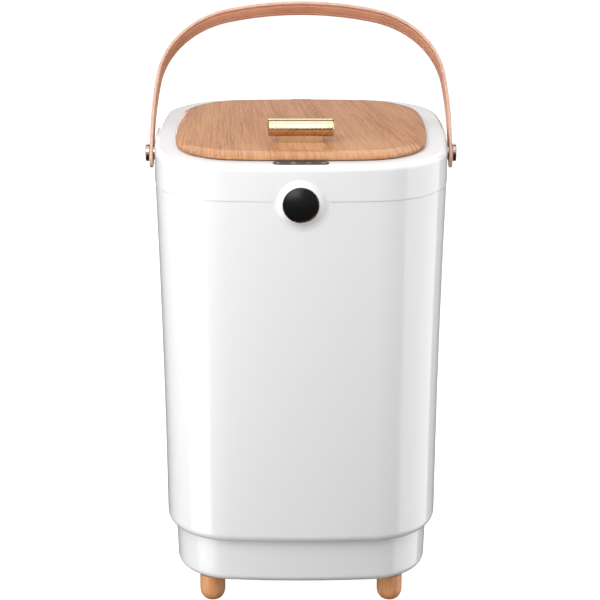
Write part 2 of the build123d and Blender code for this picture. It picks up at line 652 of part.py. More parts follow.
with BuildPart() as hinge_bracket:
    with BuildSketch(Plane.XY.offset(BRACKET_BOTTOM)):
        with Locations((0, (BRACKET_FRONT + BRACKET_REAR) / 2)):
            Rectangle(2 * BRACKET_HALF, BRACKET_REAR - BRACKET_FRONT)
    extrude(amount=RIM_Z - 0.4 - BRACKET_BOTTOM)
    with BuildSketch(Plane.XY.offset(BRACKET_BOTTOM + BRACKET_WALL)):
        with Locations((0, (BRACKET_FRONT + BRACKET_REAR) / 2)):
            Rectangle(2 * TUB_HALF, BRACKET_REAR - BRACKET_FRONT - 2 * BRACKET_WALL)
    extrude(amount=RIM_Z - BRACKET_BOTTOM, mode=Mode.SUBTRACT)
    with BuildSketch(Plane.XY.offset(BRACKET_BOTTOM)):
        with Locations((0, BRACKET_FRONT + 3)):
            Rectangle(2 * BRACKET_HALF + 16, 6)
    extrude(amount=BRACKET_WALL)
    with BuildSketch(Plane.YZ.offset(KNUCKLE_INNER_X)):
        with Locations((HINGE_Y, (HINGE_Z + BRACKET_BOTTOM) / 2)):
            Rectangle(2 * KNUCKLE_RADIUS, HINGE_Z - BRACKET_BOTTOM)
        with Locations((HINGE_Y, HINGE_Z)):
            Circle(KNUCKLE_RADIUS)
    extrude(amount=TUB_HALF + 0.5 - KNUCKLE_INNER_X)
    with BuildSketch(Plane.YZ.offset(-KNUCKLE_INNER_X)):
        with Locations((HINGE_Y, (HINGE_Z + BRACKET_BOTTOM) / 2)):
            Rectangle(2 * KNUCKLE_RADIUS, HINGE_Z - BRACKET_BOTTOM)
        with Locations((HINGE_Y, HINGE_Z)):
            Circle(KNUCKLE_RADIUS)
    extrude(amount=-(TUB_HALF + 0.5 - KNUCKLE_INNER_X))
    with BuildSketch(Plane.YZ.offset(-PIN_HALF)):
        with Locations((HINGE_Y, HINGE_Z)):
            Circle(PIN_RADIUS)
    extrude(amount=2 * PIN_HALF, mode=Mode.SUBTRACT)
hinge_bracket.part.label = "hinge_bracket"
export_step(hinge_bracket.part, "parts/hinge_bracket.step")

with BuildPart() as hinge_pin:
    with BuildSketch(Plane.YZ.offset(-PIN_HALF)):
        with Locations((HINGE_Y, HINGE_Z)):
            Circle(PIN_RADIUS)
    extrude(amount=2 * PIN_HALF)
hinge_pin.part.label = "hinge_pin"
export_step(hinge_pin.part, "parts/hinge_pin.step")

with BuildPart() as lid_screws:
    with BuildSketch(Plane.XY.offset(LEAF_BOTTOM)):
        with Locations((0, LEAF_SCREW_Y)):
            with GridLocations(LEAF_SCREW_PITCH, 0, 2, 1):
                Circle(1.5)
    extrude(amount=LEAF_TOP + 2.2 - LEAF_BOTTOM)
    with BuildSketch(Plane.XY.offset(LID_BOTTOM)):
        with Locations((0, PULL_Y)):
            with GridLocations(PULL_SCREW_PITCH, 0, 2, 1):
                Circle(2)
    extrude(amount=LID_TOP + 11 - LID_BOTTOM)
    with BuildSketch(Plane.XY.offset(LID_BOTTOM)):
        with Locations((0, PULL_Y)):
            with GridLocations(PULL_SCREW_PITCH, 0, 2, 1):
                Circle(4)
    extrude(amount=-2.6)
    fillet(lid_screws.edges().group_by(Axis.Z)[0], 0.8)
lid_screws.part.label = "lid_screws"
export_step(lid_screws.part, "parts/lid_screws.step")

# ---- Bail -------------------------------------------------------------------------------------
BAIL_FACE = Plane(
    origin=(0, 0, PIVOT_Z),
    x_dir=(1, 0, 0),
    z_dir=(0, -sin(radians(BAIL_LEAN)), cos(radians(BAIL_LEAN))),
)
BOLT_HEAD_RADIUS = 9.0
BOLT_HEAD_HEIGHT = 4.3

with BuildPart() as bail_strap:
    with BuildSketch(BAIL_FACE):
        BailOutline(0, BAIL_TAIL)
        BailOutline(STRAP_THICKNESS, BAIL_TAIL, mode=Mode.SUBTRACT)
    extrude(amount=STRAP_WIDTH / 2, both=True)
    short_edges = bail_strap.edges().filter_by(Axis.X)
    tail_edges = short_edges.filter_by(lambda edge: edge.length < 2 * STRAP_THICKNESS)
    fillet(tail_edges, STRAP_WIDTH / 2 - 0.1)
    with BuildSketch(Plane.YZ.offset(-BAIL_HALF_WIDTH - 1)):
        with Locations((0, PIVOT_Z)):
            Circle(BOLT_RADIUS + RUNNING_GAP)
    extrude(amount=2 * BAIL_HALF_WIDTH + 2, mode=Mode.SUBTRACT)
bail_strap.part.label = "bail_strap"
export_step(bail_strap.part, "parts/bail_strap.step")

BOLT_TIP_X = HALF_WIDTH - 12
HEAD_X = BAIL_HALF_WIDTH + 0.1
PIVOT_AXIS = Axis((0, 0, PIVOT_Z), (1, 0, 0))

with BuildPart() as pivot_bolts:
    with BuildSketch(Plane.XZ):
        with BuildLine():
            Polyline(
                (BOLT_TIP_X, PIVOT_Z),
                (BOLT_TIP_X, PIVOT_Z + BOLT_RADIUS),
                (HEAD_X, PIVOT_Z + BOLT_RADIUS),
                (HEAD_X, PIVOT_Z + BOLT_HEAD_RADIUS),
                (HEAD_X + BOLT_HEAD_HEIGHT, PIVOT_Z + BOLT_HEAD_RADIUS),
                (HEAD_X + BOLT_HEAD_HEIGHT, PIVOT_Z),
                close=True,
            )
        make_face()
    revolve(axis=PIVOT_AXIS)
    head_rims = pivot_bolts.edges().filter_by(GeomType.CIRCLE).filter_by(lambda rim: rim.radius > 8)
    fillet(head_rims, 0.8)
    mirror(about=Plane.YZ)
pivot_bolts.part.label = "pivot_bolts"
export_step(pivot_bolts.part, "parts/pivot_bolts.step")

WASHER_INNER_X = HALF_WIDTH + 0.02
WASHER_OUTER_X = BAIL_HALF_WIDTH - STRAP_THICKNESS - 0.1

with BuildPart() as pivot_washers:
    with BuildSketch(Plane.YZ.offset(WASHER_INNER_X)):
        with Locations((0, PIVOT_Z)):
            Circle(7.5)
            Circle(BOLT_RADIUS, mode=Mode.SUBTRACT)
    extrude(amount=WASHER_OUTER_X - WASHER_INNER_X)
    mirror(about=Plane.YZ)
pivot_washers.part.label = "pivot_washers"
export_step(pivot_washers.part, "parts/pivot_washers.step")

with BuildPart() as pivot_nuts:
    with BuildSketch(Plane.YZ.offset(HALF_WIDTH - WALL - 0.05)):
        with Locations((0, PIVOT_Z)):
            RegularPolygon(7, 6)
            Circle(BOLT_RADIUS, mode=Mode.SUBTRACT)
    extrude(amount=-6.5)
    mirror(about=Plane.YZ)
pivot_nuts.part.label = "pivot_nuts"
export_step(pivot_nuts.part, "parts/pivot_nuts.step")

# ---- Chamber, heater and bucket ---------------------------------------------------------------
SHEET = 1.5
HUB_OPENING = 32.0

with BuildPart() as chamber_liner:
    with BuildSketch(Plane.XY.offset(DECK_TOP)):
        Circle(LINER_RADIUS + SHEET)
    extrude(amount=THROAT_BOTTOM - DECK_TOP)
    with BuildSketch(Plane.XY.offset(THROAT_BOTTOM - SHEET)):
        Circle(THROAT_RADIUS + 2.4)
    extrude(amount=SHEET)
    with BuildSketch(Plane.XY.offset(DECK_TOP + SHEET)):
        Circle(LINER_RADIUS)
    extrude(amount=THROAT_BOTTOM - DECK_TOP, mode=Mode.SUBTRACT)
    with BuildSketch(Plane.XY.offset(DECK_TOP)):
        Circle(HUB_OPENING)
    extrude(amount=SHEET, mode=Mode.SUBTRACT)
    with BuildSketch(Plane.YZ.offset(-LINER_RADIUS - 5)):
        with Locations((0, VENT_Z)):
            RectangleRounded(24, 14, 3)
    extrude(amount=10, mode=Mode.SUBTRACT)
chamber_liner.part.label = "chamber_liner"
export_step(chamber_liner.part, "parts/chamber_liner.step")

with BuildPart() as heater_plate:
    with BuildSketch(Plane.XY.offset(DECK_TOP + SHEET)):
        Circle(95)
        Circle(HUB_OPENING + 4, mode=Mode.SUBTRACT)
    extrude(amount=BUCKET_BOTTOM - DECK_TOP - SHEET)
    fillet(heater_plate.edges().group_by(Axis.Z)[-1], 0.8)
heater_plate.part.label = "heater_plate"
export_step(heater_plate.part, "parts/heater_plate.step")

with BuildPart() as thermal_cutout:
    with BuildSketch(Plane.YZ.offset(LINER_RADIUS + SHEET)):
        with Locations((0, CUTOUT_Z)):
            Circle(8)
    extrude(amount=7)
    with BuildSketch(Plane.YZ.offset(LINER_RADIUS + SHEET + 7)):
        with Locations((0, CUTOUT_Z)):
            with GridLocations(7, 0, 2, 1):
                Rectangle(1, 6)
    extrude(amount=6)
    with BuildSketch(Plane.YZ.offset(LINER_RADIUS - 2)):
        with Locations((0, CUTOUT_Z)):
            Circle(9)
    extrude(amount=4)
    with BuildSketch(Plane.XY.offset(CUTOUT_Z - 15)):
        Circle(LINER_RADIUS + SHEET + 0.05)
    extrude(amount=30, mode=Mode.SUBTRACT)
thermal_cutout.part.label = "thermal_cutout"
export_step(thermal_cutout.part, "parts/thermal_cutout.step")

BUCKET_WALL = 2.0
BUCKET_FLOOR_TOP = BUCKET_BOTTOM + 3
SEAL_RADIUS = 14.0

with BuildPart() as bucket_cavity:
    with BuildSketch(Plane.XY.offset(BUCKET_FLOOR_TOP)):
        Circle(BUCKET_RADIUS - BUCKET_WALL)
    extrude(amount=BUCKET_TOP - BUCKET_FLOOR_TOP)
    fillet(bucket_cavity.edges().group_by(Axis.Z)[0], 8)

with BuildPart() as bucket:
    with BuildSketch(Plane.XY.offset(BUCKET_BOTTOM)):
        Circle(BUCKET_RADIUS)
    extrude(amount=BUCKET_TOP - BUCKET_BOTTOM)
    fillet(bucket.edges().group_by(Axis.Z)[0], 10)
    with BuildSketch(Plane.XY.offset(THROAT_BOTTOM + 0.05)):
        Circle(109)
    extrude(amount=2)
    add(bucket_cavity.part, mode=Mode.SUBTRACT)
    with BuildSketch(Plane.XY.offset(BUCKET_BOTTOM)):
        Circle(SEAL_RADIUS)
    extrude(amount=3, mode=Mode.SUBTRACT)
bucket.part.label = "bucket"
export_step(bucket.part, "parts/bucket.step")

# Fixed bars stand out from the bucket wall between the rotor's arms.
BAR_HEIGHTS = (197.0, 223.0)
BAR_LENGTH = 30.0

with BuildPart() as shear_bars:
    for bar_z, bar_turn in zip(BAR_HEIGHTS, (0, 60)):
        with BuildSketch(Plane.XY.offset(bar_z)):
            with PolarLocations(BUCKET_RADIUS - BUCKET_WALL - BAR_LENGTH / 2 - 0.1, 3, bar_turn):
                Rectangle(BAR_LENGTH, 12)
        extrude(amount=8)
    with BuildSketch(Plane.XY.offset(190)):
        Circle(BUCKET_RADIUS - BUCKET_WALL)
    extrude(amount=50, mode=Mode.INTERSECT)
shear_bars.part.label = "shear_bars"
export_step(shear_bars.part, "parts/shear_bars.step")

# ---- Rotor and drive --------------------------------------------------------------------------
ARM_HEIGHTS = (182.0, 208.0, 234.0)
ARM_REACH = 92.0
ARM_THICKNESS = 9.0
ROTOR_STUB_RADIUS = 8.0
COUPLING_TOP = 158.0

with BuildPart() as crusher_rotor:
    with BuildSketch(Plane.XY.offset(BUCKET_FLOOR_TOP + 1)):
        Circle(22)
    extrude(amount=90)
    fillet(crusher_rotor.edges().group_by(Axis.Z)[-1], 12)
    for arm_z, arm_turn in zip(ARM_HEIGHTS, (20, 140, 260)):
        with BuildSketch(Plane.XY.offset(arm_z)):
            with PolarLocations(ARM_REACH / 2, 2, arm_turn):
                Trapezoid(ARM_REACH, 18, 84)
            with PolarLocations(ARM_REACH - 7, 2, arm_turn + 7):
                Rectangle(14, 14)
        extrude(amount=ARM_THICKNESS)
    with BuildSketch(Plane.XY.offset(COUPLING_TOP)):
        Circle(ROTOR_STUB_RADIUS)
    extrude(amount=BUCKET_FLOOR_TOP + 1 - COUPLING_TOP)
crusher_rotor.part.label = "crusher_rotor"
export_step(crusher_rotor.part, "parts/crusher_rotor.step")

with BuildPart() as rotor_seal:
    with BuildSketch(Plane.XY.offset(BUCKET_BOTTOM)):
        Circle(SEAL_RADIUS)
        Circle(ROTOR_STUB_RADIUS + RUNNING_GAP, mode=Mode.SUBTRACT)
    extrude(amount=3)
rotor_seal.part.label = "rotor_seal"
export_step(rotor_seal.part, "parts/rotor_seal.step")

with BuildPart() as drive_coupling:
    with BuildSketch(Plane.XY.offset(DECK_TOP + 0.5)):
        Circle(18)
        Circle(SHAFT_RADIUS, mode=Mode.SUBTRACT)
    extrude(amount=COUPLING_TOP - DECK_TOP - 0.5)
drive_coupling.part.label = "drive_coupling"
export_step(drive_coupling.part, "parts/drive_coupling.step")

with BuildPart() as drive_shaft:
    with BuildSketch(Plane.XY.offset(SHAFT_BOTTOM)):
        Circle(SHAFT_RADIUS)
    extrude(amount=COUPLING_TOP - SHAFT_BOTTOM)
    chamfer(drive_shaft.edges().group_by(Axis.Z)[0], 0.6)
drive_shaft.part.label = "drive_shaft"
export_step(drive_shaft.part, "parts/drive_shaft.step")

with BuildPart() as drive_gear:
    with BuildSketch(Plane.XY.offset(GEAR_BOTTOM)):
        GearOutline(GEAR_TEETH, -90, SHAFT_RADIUS)
    extrude(amount=GEAR_THICKNESS)
    with BuildSketch(Plane.XY.offset(GEAR_BOTTOM + GEAR_THICKNESS / 2)):
        Circle(55)
        Circle(14, mode=Mode.SUBTRACT)
    extrude(amount=GEAR_THICKNESS / 2, mode=Mode.SUBTRACT)
drive_gear.part.label = "drive_gear"
export_step(drive_gear.part, "parts/drive_gear.step")

with BuildPart() as motor_pinion:
    with BuildSketch(Plane((0, MOTOR_Y, GEAR_BOTTOM))):
        GearOutline(PINION_TEETH, 90 + 180 / PINION_TEETH, MOTOR_SHAFT_RADIUS)
    extrude(amount=GEAR_THICKNESS)
motor_pinion.part.label = "motor_pinion"
export_step(motor_pinion.part, "parts/motor_pinion.step")

MOTOR_BOTTOM = 40.0
PLATE_BOTTOM = 108.0
PLATE_TOP = 112.0
MOTOR_SHAFT_BOTTOM = 98.0
MOTOR_SCREW_RADIUS = 24.0

with BuildPart() as motor_shaft:
    with BuildSketch(Plane((0, MOTOR_Y, MOTOR_SHAFT_BOTTOM))):
        Circle(MOTOR_SHAFT_RADIUS)
    extrude(amount=GEAR_BOTTOM + GEAR_THICKNESS + 1 - MOTOR_SHAFT_BOTTOM)
motor_shaft.part.label = "motor_shaft"
export_step(motor_shaft.part, "parts/motor_shaft.step")

with BuildPart() as gear_motor:
    with BuildSketch(Plane((0, MOTOR_Y, MOTOR_BOTTOM))):
        Circle(35)
    extrude(amount=PLATE_BOTTOM - MOTOR_BOTTOM)
    fillet(gear_motor.edges().group_by(Axis.Z)[0], 3)
    with BuildSketch(Plane((0, MOTOR_Y, MOTOR_SHAFT_BOTTOM - 0.5))):
        Circle(MOTOR_SHAFT_RADIUS + RUNNING_GAP)
    extrude(amount=PLATE_BOTTOM - MOTOR_SHAFT_BOTTOM + 0.5, mode=Mode.SUBTRACT)
    with BuildSketch(Plane((0, MOTOR_Y, PLATE_BOTTOM))):
        with PolarLocations(MOTOR_SCREW_RADIUS, 4, 45):
            Circle(2)
    extrude(amount=-8, mode=Mode.SUBTRACT)
gear_motor.part.label = "gear_motor"
export_step(gear_motor.part, "parts/gear_motor.step")

SPACER_SPOTS = ((-72, 30), (72, 30), (-72, -100), (72, -100))

with BuildPart() as gearbox_plate:
    with BuildSketch(Plane.XY.offset(PLATE_BOTTOM)):
        with Locations((0, -36)):
            RectangleRounded(160, 150, 12)
        Circle(SHAFT_RADIUS + 4, mode=Mode.SUBTRACT)
        with Locations((0, MOTOR_Y)):
            Circle(8, mode=Mode.SUBTRACT)
            with PolarLocations(MOTOR_SCREW_RADIUS, 4, 45):
                Circle(2, mode=Mode.SUBTRACT)
        with Locations(*SPACER_SPOTS):
            Circle(2, mode=Mode.SUBTRACT)
    extrude(amount=PLATE_TOP - PLATE_BOTTOM)
gearbox_plate.part.label = "gearbox_plate"
export_step(gearbox_plate.part, "parts/gearbox_plate.step")

with BuildPart() as lower_bushing:
    with BuildSketch(Plane.XY.offset(PLATE_BOTTOM)):
        Circle(SHAFT_RADIUS + 4)
        Circle(SHAFT_RADIUS + RUNNING_GAP, mode=Mode.SUBTRACT)
    extrude(amount=PLATE_TOP - PLATE_BOTTOM)
    with BuildSketch(Plane.XY.offset(PLATE_TOP)):
        Circle(SHAFT_RADIUS + 7)
        Circle(SHAFT_RADIUS + RUNNING_GAP, mode=Mode.SUBTRACT)
    extrude(amount=2)
lower_bushing.part.label = "lower_bushing"
export_step(lower_bushing.part, "parts/lower_bushing.step")

with BuildPart() as plate_spacers:
    with BuildSketch(Plane.XY.offset(PLATE_TOP)):
        with Locations(*SPACER_SPOTS):
            Circle(5)
    extrude(amount=DECK_BOTTOM - PLATE_TOP)
plate_spacers.part.label = "plate_spacers"
export_step(plate_spacers.part, "parts/plate_spacers.step")

BEARING_BOTTOM = 138.0

with BuildPart() as bearing_housing:
    with BuildSketch(Plane.XY.offset(BEARING_BOTTOM - 2)):
        Circle(18)
    extrude(amount=DECK_BOTTOM - BEARING_BOTTOM + 2)
    with BuildSketch(Plane.XY.offset(DECK_BOTTOM - 3)):
        Circle(28)
    extrude(amount=3)
    with BuildSketch(Plane.XY.offset(BEARING_BOTTOM)):
        Circle(13)
    extrude(amount=DECK_BOTTOM - BEARING_BOTTOM, mode=Mode.SUBTRACT)
    with BuildSketch(Plane.XY.offset(BEARING_BOTTOM - 2)):
        Circle(9)
    extrude(amount=2, mode=Mode.SUBTRACT)
bearing_housing.part.label = "bearing_housing"
export_step(bearing_housing.part, "parts/bearing_housing.step")

with BuildPart() as upper_bearing:
    with BuildSketch(Plane.XY.offset(BEARING_BOTTOM)):
        Circle(13)
        Circle(SHAFT_RADIUS + RUNNING_GAP, mode=Mode.SUBTRACT)
    extrude(amount=8)
upper_bearing.part.label = "upper_bearing"
export_step(upper_bearing.part, "parts/upper_bearing.step")

DECK_INSET = 9.5
HARNESS_X = 30.0
HARNESS_Y = -121.0
DUCT_X = -121.0
DUCT_HALF = 7.0
DUCT_WIDTH = 30.0

with BuildPart() as chassis_deck:
    with BuildSketch(Plane.XY.offset(DECK_BOTTOM)):
        BodyPlan(DECK_INSET)
        Circle(20, mode=Mode.SUBTRACT)
        with Locations((HARNESS_X, HARNESS_Y)):
            Circle(5, mode=Mode.SUBTRACT)
        with Locations((DUCT_X, 0)):
            Rectangle(2 * DUCT_HALF + 1, DUCT_WIDTH + 1, mode=Mode.SUBTRACT)
    extrude(amount=DECK_TOP - DECK_BOTTOM)
chassis_deck.part.label = "chassis_deck"
export_step(chassis_deck.part, "parts/chassis_deck.step")

with BuildPart() as deck_posts:
    with BuildSketch(Plane.XY.offset(BASE_FLOOR_TOP)):
        with GridLocations(2 * POST_X, 2 * POST_Y, 2, 2):
            Circle(6)
    extrude(amount=DECK_BOTTOM - BASE_FLOOR_TOP)
deck_posts.part.label = "deck_posts"
export_step(deck_posts.part, "parts/deck_posts.step")

# ---- Blower, ducts and filter -----------------------------------------------------------------
BLOWER_RADIUS = 34.0
IMPELLER_RADIUS = 28.0
BLADE_COUNT = 12
BLOWER_SHAFT_RADIUS = 2.5

with BuildPart() as blower_housing:
    with BuildSketch(Plane((BLOWER_X, BLOWER_Y, BLOWER_BOTTOM))):
        Circle(BLOWER_RADIUS)
        with Locations((-BLOWER_RADIUS / 2, 25)):
            Rectangle(BLOWER_RADIUS, 50)
    extrude(amount=BLOWER_TOP - BLOWER_BOTTOM)
    with BuildSketch(Plane((BLOWER_X, BLOWER_Y, BLOWER_BOTTOM + 2))):
        Circle(BLOWER_RADIUS - 2)
        with Locations((-BLOWER_RADIUS / 2, 26)):
            Rectangle(BLOWER_RADIUS - 4, 52)
    extrude(amount=BLOWER_TOP - BLOWER_BOTTOM - 4, mode=Mode.SUBTRACT)
    with BuildSketch(Plane((BLOWER_X, BLOWER_Y, BLOWER_TOP))):
        Circle(18)
    extrude(amount=-2, mode=Mode.SUBTRACT)
    with BuildSketch(Plane((BLOWER_X, BLOWER_Y, BLOWER_BOTTOM))):
        Circle(BLOWER_SHAFT_RADIUS + RUNNING_GAP)
    extrude(amount=2, mode=Mode.SUBTRACT)
blower_housing.part.label = "blower_housing"
export_step(blower_housing.part, "parts/blower_housing.step")

with BuildPart() as blower_impeller:
    with BuildSketch(Plane((BLOWER_X, BLOWER_Y, BLOWER_BOTTOM + 4))):
        Circle(IMPELLER_RADIUS)
    extrude(amount=2)
    with BuildSketch(Plane((BLOWER_X, BLOWER_Y, BLOWER_BOTTOM + 6))):
        with PolarLocations(IMPELLER_RADIUS - 6, BLADE_COUNT):
            Rectangle(9, 1.6, rotation=35)
        Circle(8)
    extrude(amount=22)
    with BuildSketch(Plane((BLOWER_X, BLOWER_Y, BASE_FLOOR_TOP + 6))):
        Circle(BLOWER_SHAFT_RADIUS)
    extrude(amount=BLOWER_BOTTOM + 4 - BASE_FLOOR_TOP - 6)
blower_impeller.part.label = "blower_impeller"
export_step(blower_impeller.part, "parts/blower_impeller.step")

with BuildPart() as blower_motor:
    with BuildSketch(Plane((BLOWER_X, BLOWER_Y, BASE_FLOOR_TOP))):
        Circle(16)
    extrude(amount=BLOWER_BOTTOM - BASE_FLOOR_TOP)
    with BuildSketch(Plane((BLOWER_X, BLOWER_Y, BASE_FLOOR_TOP + 5.5))):
        Circle(BLOWER_SHAFT_RADIUS + RUNNING_GAP)
    extrude(amount=BLOWER_BOTTOM - BASE_FLOOR_TOP - 5.5, mode=Mode.SUBTRACT)
blower_motor.part.label = "blower_motor"
export_step(blower_motor.part, "parts/blower_motor.step")

# The suction duct runs up beside the chamber and opens into it near the top.
DUCT_BOTTOM = BLOWER_TOP + 0.1
ELBOW_TOP = 103.0
DUCT_TOP = VENT_Z + 10
OUTLET_BOTTOM = VENT_Z - 15
DUCT_WALL = 1.2
ELBOW_RIGHT = BLOWER_X + 20

with BuildPart() as air_duct:
    with BuildSketch(Plane.XY.offset(DUCT_BOTTOM)):
        with Locations((DUCT_X, 0)):
            Rectangle(2 * DUCT_HALF, DUCT_WIDTH)
    extrude(amount=DUCT_TOP - DUCT_BOTTOM)
    with BuildSketch(Plane.XY.offset(DUCT_BOTTOM)):
        with Locations(((DUCT_X - DUCT_HALF + ELBOW_RIGHT) / 2, (BLOWER_Y - 20 + DUCT_WIDTH / 2) / 2)):
            Rectangle(ELBOW_RIGHT - DUCT_X + DUCT_HALF, DUCT_WIDTH / 2 + 20 - BLOWER_Y)
    extrude(amount=ELBOW_TOP - DUCT_BOTTOM)
    with BuildSketch(Plane.XY.offset(OUTLET_BOTTOM)):
        with Locations(((DUCT_X - LINER_RADIUS - SHEET) / 2 - 0.4, 0)):
            Rectangle(-DUCT_X - LINER_RADIUS - SHEET - 0.8, DUCT_WIDTH)
    extrude(amount=DUCT_TOP - OUTLET_BOTTOM)
    with BuildSketch(Plane.XY.offset(DUCT_BOTTOM + DUCT_WALL)):
        with Locations((DUCT_X, 0)):
            Rectangle(2 * (DUCT_HALF - DUCT_WALL), DUCT_WIDTH - 2 * DUCT_WALL)
    extrude(amount=DUCT_TOP - DUCT_BOTTOM - 2 * DUCT_WALL, mode=Mode.SUBTRACT)
    with BuildSketch(Plane.XY.offset(DUCT_BOTTOM + DUCT_WALL)):
        with Locations(((DUCT_X - DUCT_HALF + ELBOW_RIGHT) / 2, (BLOWER_Y - 20 + DUCT_WIDTH / 2) / 2)):
            Rectangle(
                ELBOW_RIGHT - DUCT_X + DUCT_HALF - 2 * DUCT_WALL,
                DUCT_WIDTH / 2 + 20 - BLOWER_Y - 2 * DUCT_WALL,
            )
    extrude(amount=ELBOW_TOP - DUCT_BOTTOM - 2 * DUCT_WALL, mode=Mode.SUBTRACT)
    with BuildSketch(Plane((BLOWER_X, BLOWER_Y, DUCT_BOTTOM))):
        Circle(17)
    extrude(amount=DUCT_WALL, mode=Mode.SUBTRACT)
    with BuildSketch(Plane.YZ.offset(DUCT_X)):
        with Locations((0, VENT_Z)):
            RectangleRounded(22, 12, 3)
    extrude(amount=30, mode=Mode.SUBTRACT)
air_duct.part.label = "air_duct"
export_step(air_duct.part, "parts/air_duct.step")

# The filter slides out of the back of the base with its cover.
HOUSING_HALF = FILTER_WIDTH / 2 - 0.3
HOUSING_REAR = 122.0
FILTER_MID_Z = FILTER_BOTTOM + FILTER_HEIGHT / 2
CARTRIDGE_HALF = HOUSING_HALF - 2.4
CARTRIDGE_HEIGHT = FILTER_HEIGHT - 5.4
CARTRIDGE_FRONT = FILTER_FRONT + 6
COVER_FRONT_Y = 124.9
COVER_REAR_Y = 128.2

with BuildPart() as filter_housing:
    with BuildSketch(Plane.XZ.offset(-HOUSING_REAR)):
        with Locations((0, FILTER_MID_Z)):
            Rectangle(2 * HOUSING_HALF, FILTER_HEIGHT - 0.6)
    extrude(amount=HOUSING_REAR - FILTER_FRONT)
    with BuildSketch(Plane.XZ.offset(-HOUSING_REAR)):
        with Locations((0, FILTER_MID_Z)):
            Rectangle(2 * HOUSING_HALF - 4, FILTER_HEIGHT - 4.6)
    extrude(amount=HOUSING_REAR - FILTER_FRONT - 2, mode=Mode.SUBTRACT)
    with BuildSketch(Plane.YZ.offset(-HOUSING_HALF)):
        with Locations((FILTER_FRONT + 16, FILTER_MID_Z)):
            Rectangle(22, 20)
    extrude(amount=2, mode=Mode.SUBTRACT)
filter_housing.part.label = "filter_housing"
export_step(filter_housing.part, "parts/filter_housing.step")

SNOUT_REAR = BLOWER_Y + 50.2
EXHAUST_LEFT = BLOWER_X - BLOWER_RADIUS
EXHAUST_RIGHT = -HOUSING_HALF - 0.2
EXHAUST_REAR = FILTER_FRONT + 28
EXHAUST_BOTTOM = FILTER_MID_Z - 12

with BuildPart() as exhaust_duct:
    with BuildSketch(Plane.XY.offset(EXHAUST_BOTTOM)):
        with BuildLine():
            Polyline(
                (EXHAUST_LEFT, SNOUT_REAR),
                (BLOWER_X, SNOUT_REAR),
                (EXHAUST_RIGHT, FILTER_FRONT + 4),
                (EXHAUST_RIGHT, EXHAUST_REAR),
                (EXHAUST_RIGHT - 40, EXHAUST_REAR),
                close=True,
            )
        make_face()
    extrude(amount=24)
    with BuildSketch(Plane.XY.offset(EXHAUST_BOTTOM + DUCT_WALL)):
        with BuildLine():
            Polyline(
                (EXHAUST_LEFT + 3, SNOUT_REAR),
                (BLOWER_X - 3, SNOUT_REAR),
                (EXHAUST_RIGHT, FILTER_FRONT + 6.5),
                (EXHAUST_RIGHT, EXHAUST_REAR - 2),
                (EXHAUST_RIGHT - 38.5, EXHAUST_REAR - 2),
                close=True,
            )
        make_face()
    extrude(amount=24 - 2 * DUCT_WALL, mode=Mode.SUBTRACT)
exhaust_duct.part.label = "exhaust_duct"
export_step(exhaust_duct.part, "parts/exhaust_duct.step")

with BuildPart() as carbon_filter:
    with BuildSketch(Plane.XZ.offset(-COVER_FRONT_Y)):
        with Locations((0, FILTER_MID_Z)):
            Rectangle(2 * CARTRIDGE_HALF, CARTRIDGE_HEIGHT)
    extrude(amount=COVER_FRONT_Y - CARTRIDGE_FRONT)
carbon_filter.part.label = "carbon_filter"
export_step(carbon_filter.part, "parts/carbon_filter.step")

with BuildPart() as filter_cover:
    with BuildSketch(Plane.XZ.offset(-COVER_REAR_Y)):
        with Locations((0, FILTER_MID_Z)):
            RectangleRounded(COVER_WIDTH, COVER_HEIGHT, 4.6)
    extrude(amount=COVER_REAR_Y - COVER_FRONT_Y)
    fillet(filter_cover.edges().group_by(Axis.Y)[-1], 1.2)
    with BuildSketch(Plane.XZ.offset(-COVER_REAR_Y)):
        with Locations((0, FILTER_MID_Z)):
            with GridLocations(7, 0, 8, 1):
                SlotOverall(24, 3, rotation=90)
    extrude(amount=COVER_REAR_Y - COVER_FRONT_Y, mode=Mode.SUBTRACT)
filter_cover.part.label = "filter_cover"
export_step(filter_cover.part, "parts/filter_cover.step")

# ---- Back of the shell ------------------------------------------------------------------------
GRILLE_REAR_Y = HALF_DEPTH - 1.2

with BuildPart() as rear_grille:
    with BuildSketch(Plane.XZ.offset(-GRILLE_REAR_Y)):
        with Locations((0, GRILLE_Z)):
            RectangleRounded(GRILLE_WIDTH - 0.6, GRILLE_HEIGHT - 0.6, 5.7)
    extrude(amount=8)
    fillet(rear_grille.edges().group_by(Axis.Y)[-1], 0.8)
    with BuildSketch(Plane.XZ.offset(-GRILLE_REAR_Y + 2.5)):
        with Locations((0, GRILLE_Z)):
            RectangleRounded(GRILLE_WIDTH - 6, GRILLE_HEIGHT - 6, 3)
    extrude(amount=8, mode=Mode.SUBTRACT)
    with BuildSketch(Plane.XZ.offset(-GRILLE_REAR_Y)):
        with Locations((0, GRILLE_Z)):
            with GridLocations(0, 6, 1, 6):
                SlotOverall(70, 2.8)
    extrude(amount=8, mode=Mode.SUBTRACT)
rear_grille.part.label = "rear_grille"
export_step(rear_grille.part, "parts/rear_grille.step")

INLET_REAR_Y = HALF_DEPTH - 2.5
SOCKET_WIDTH = 24.0
SOCKET_HEIGHT = 16.0
SOCKET_DEPTH = 16.0
INLET_SCREW_PITCH = 40.0

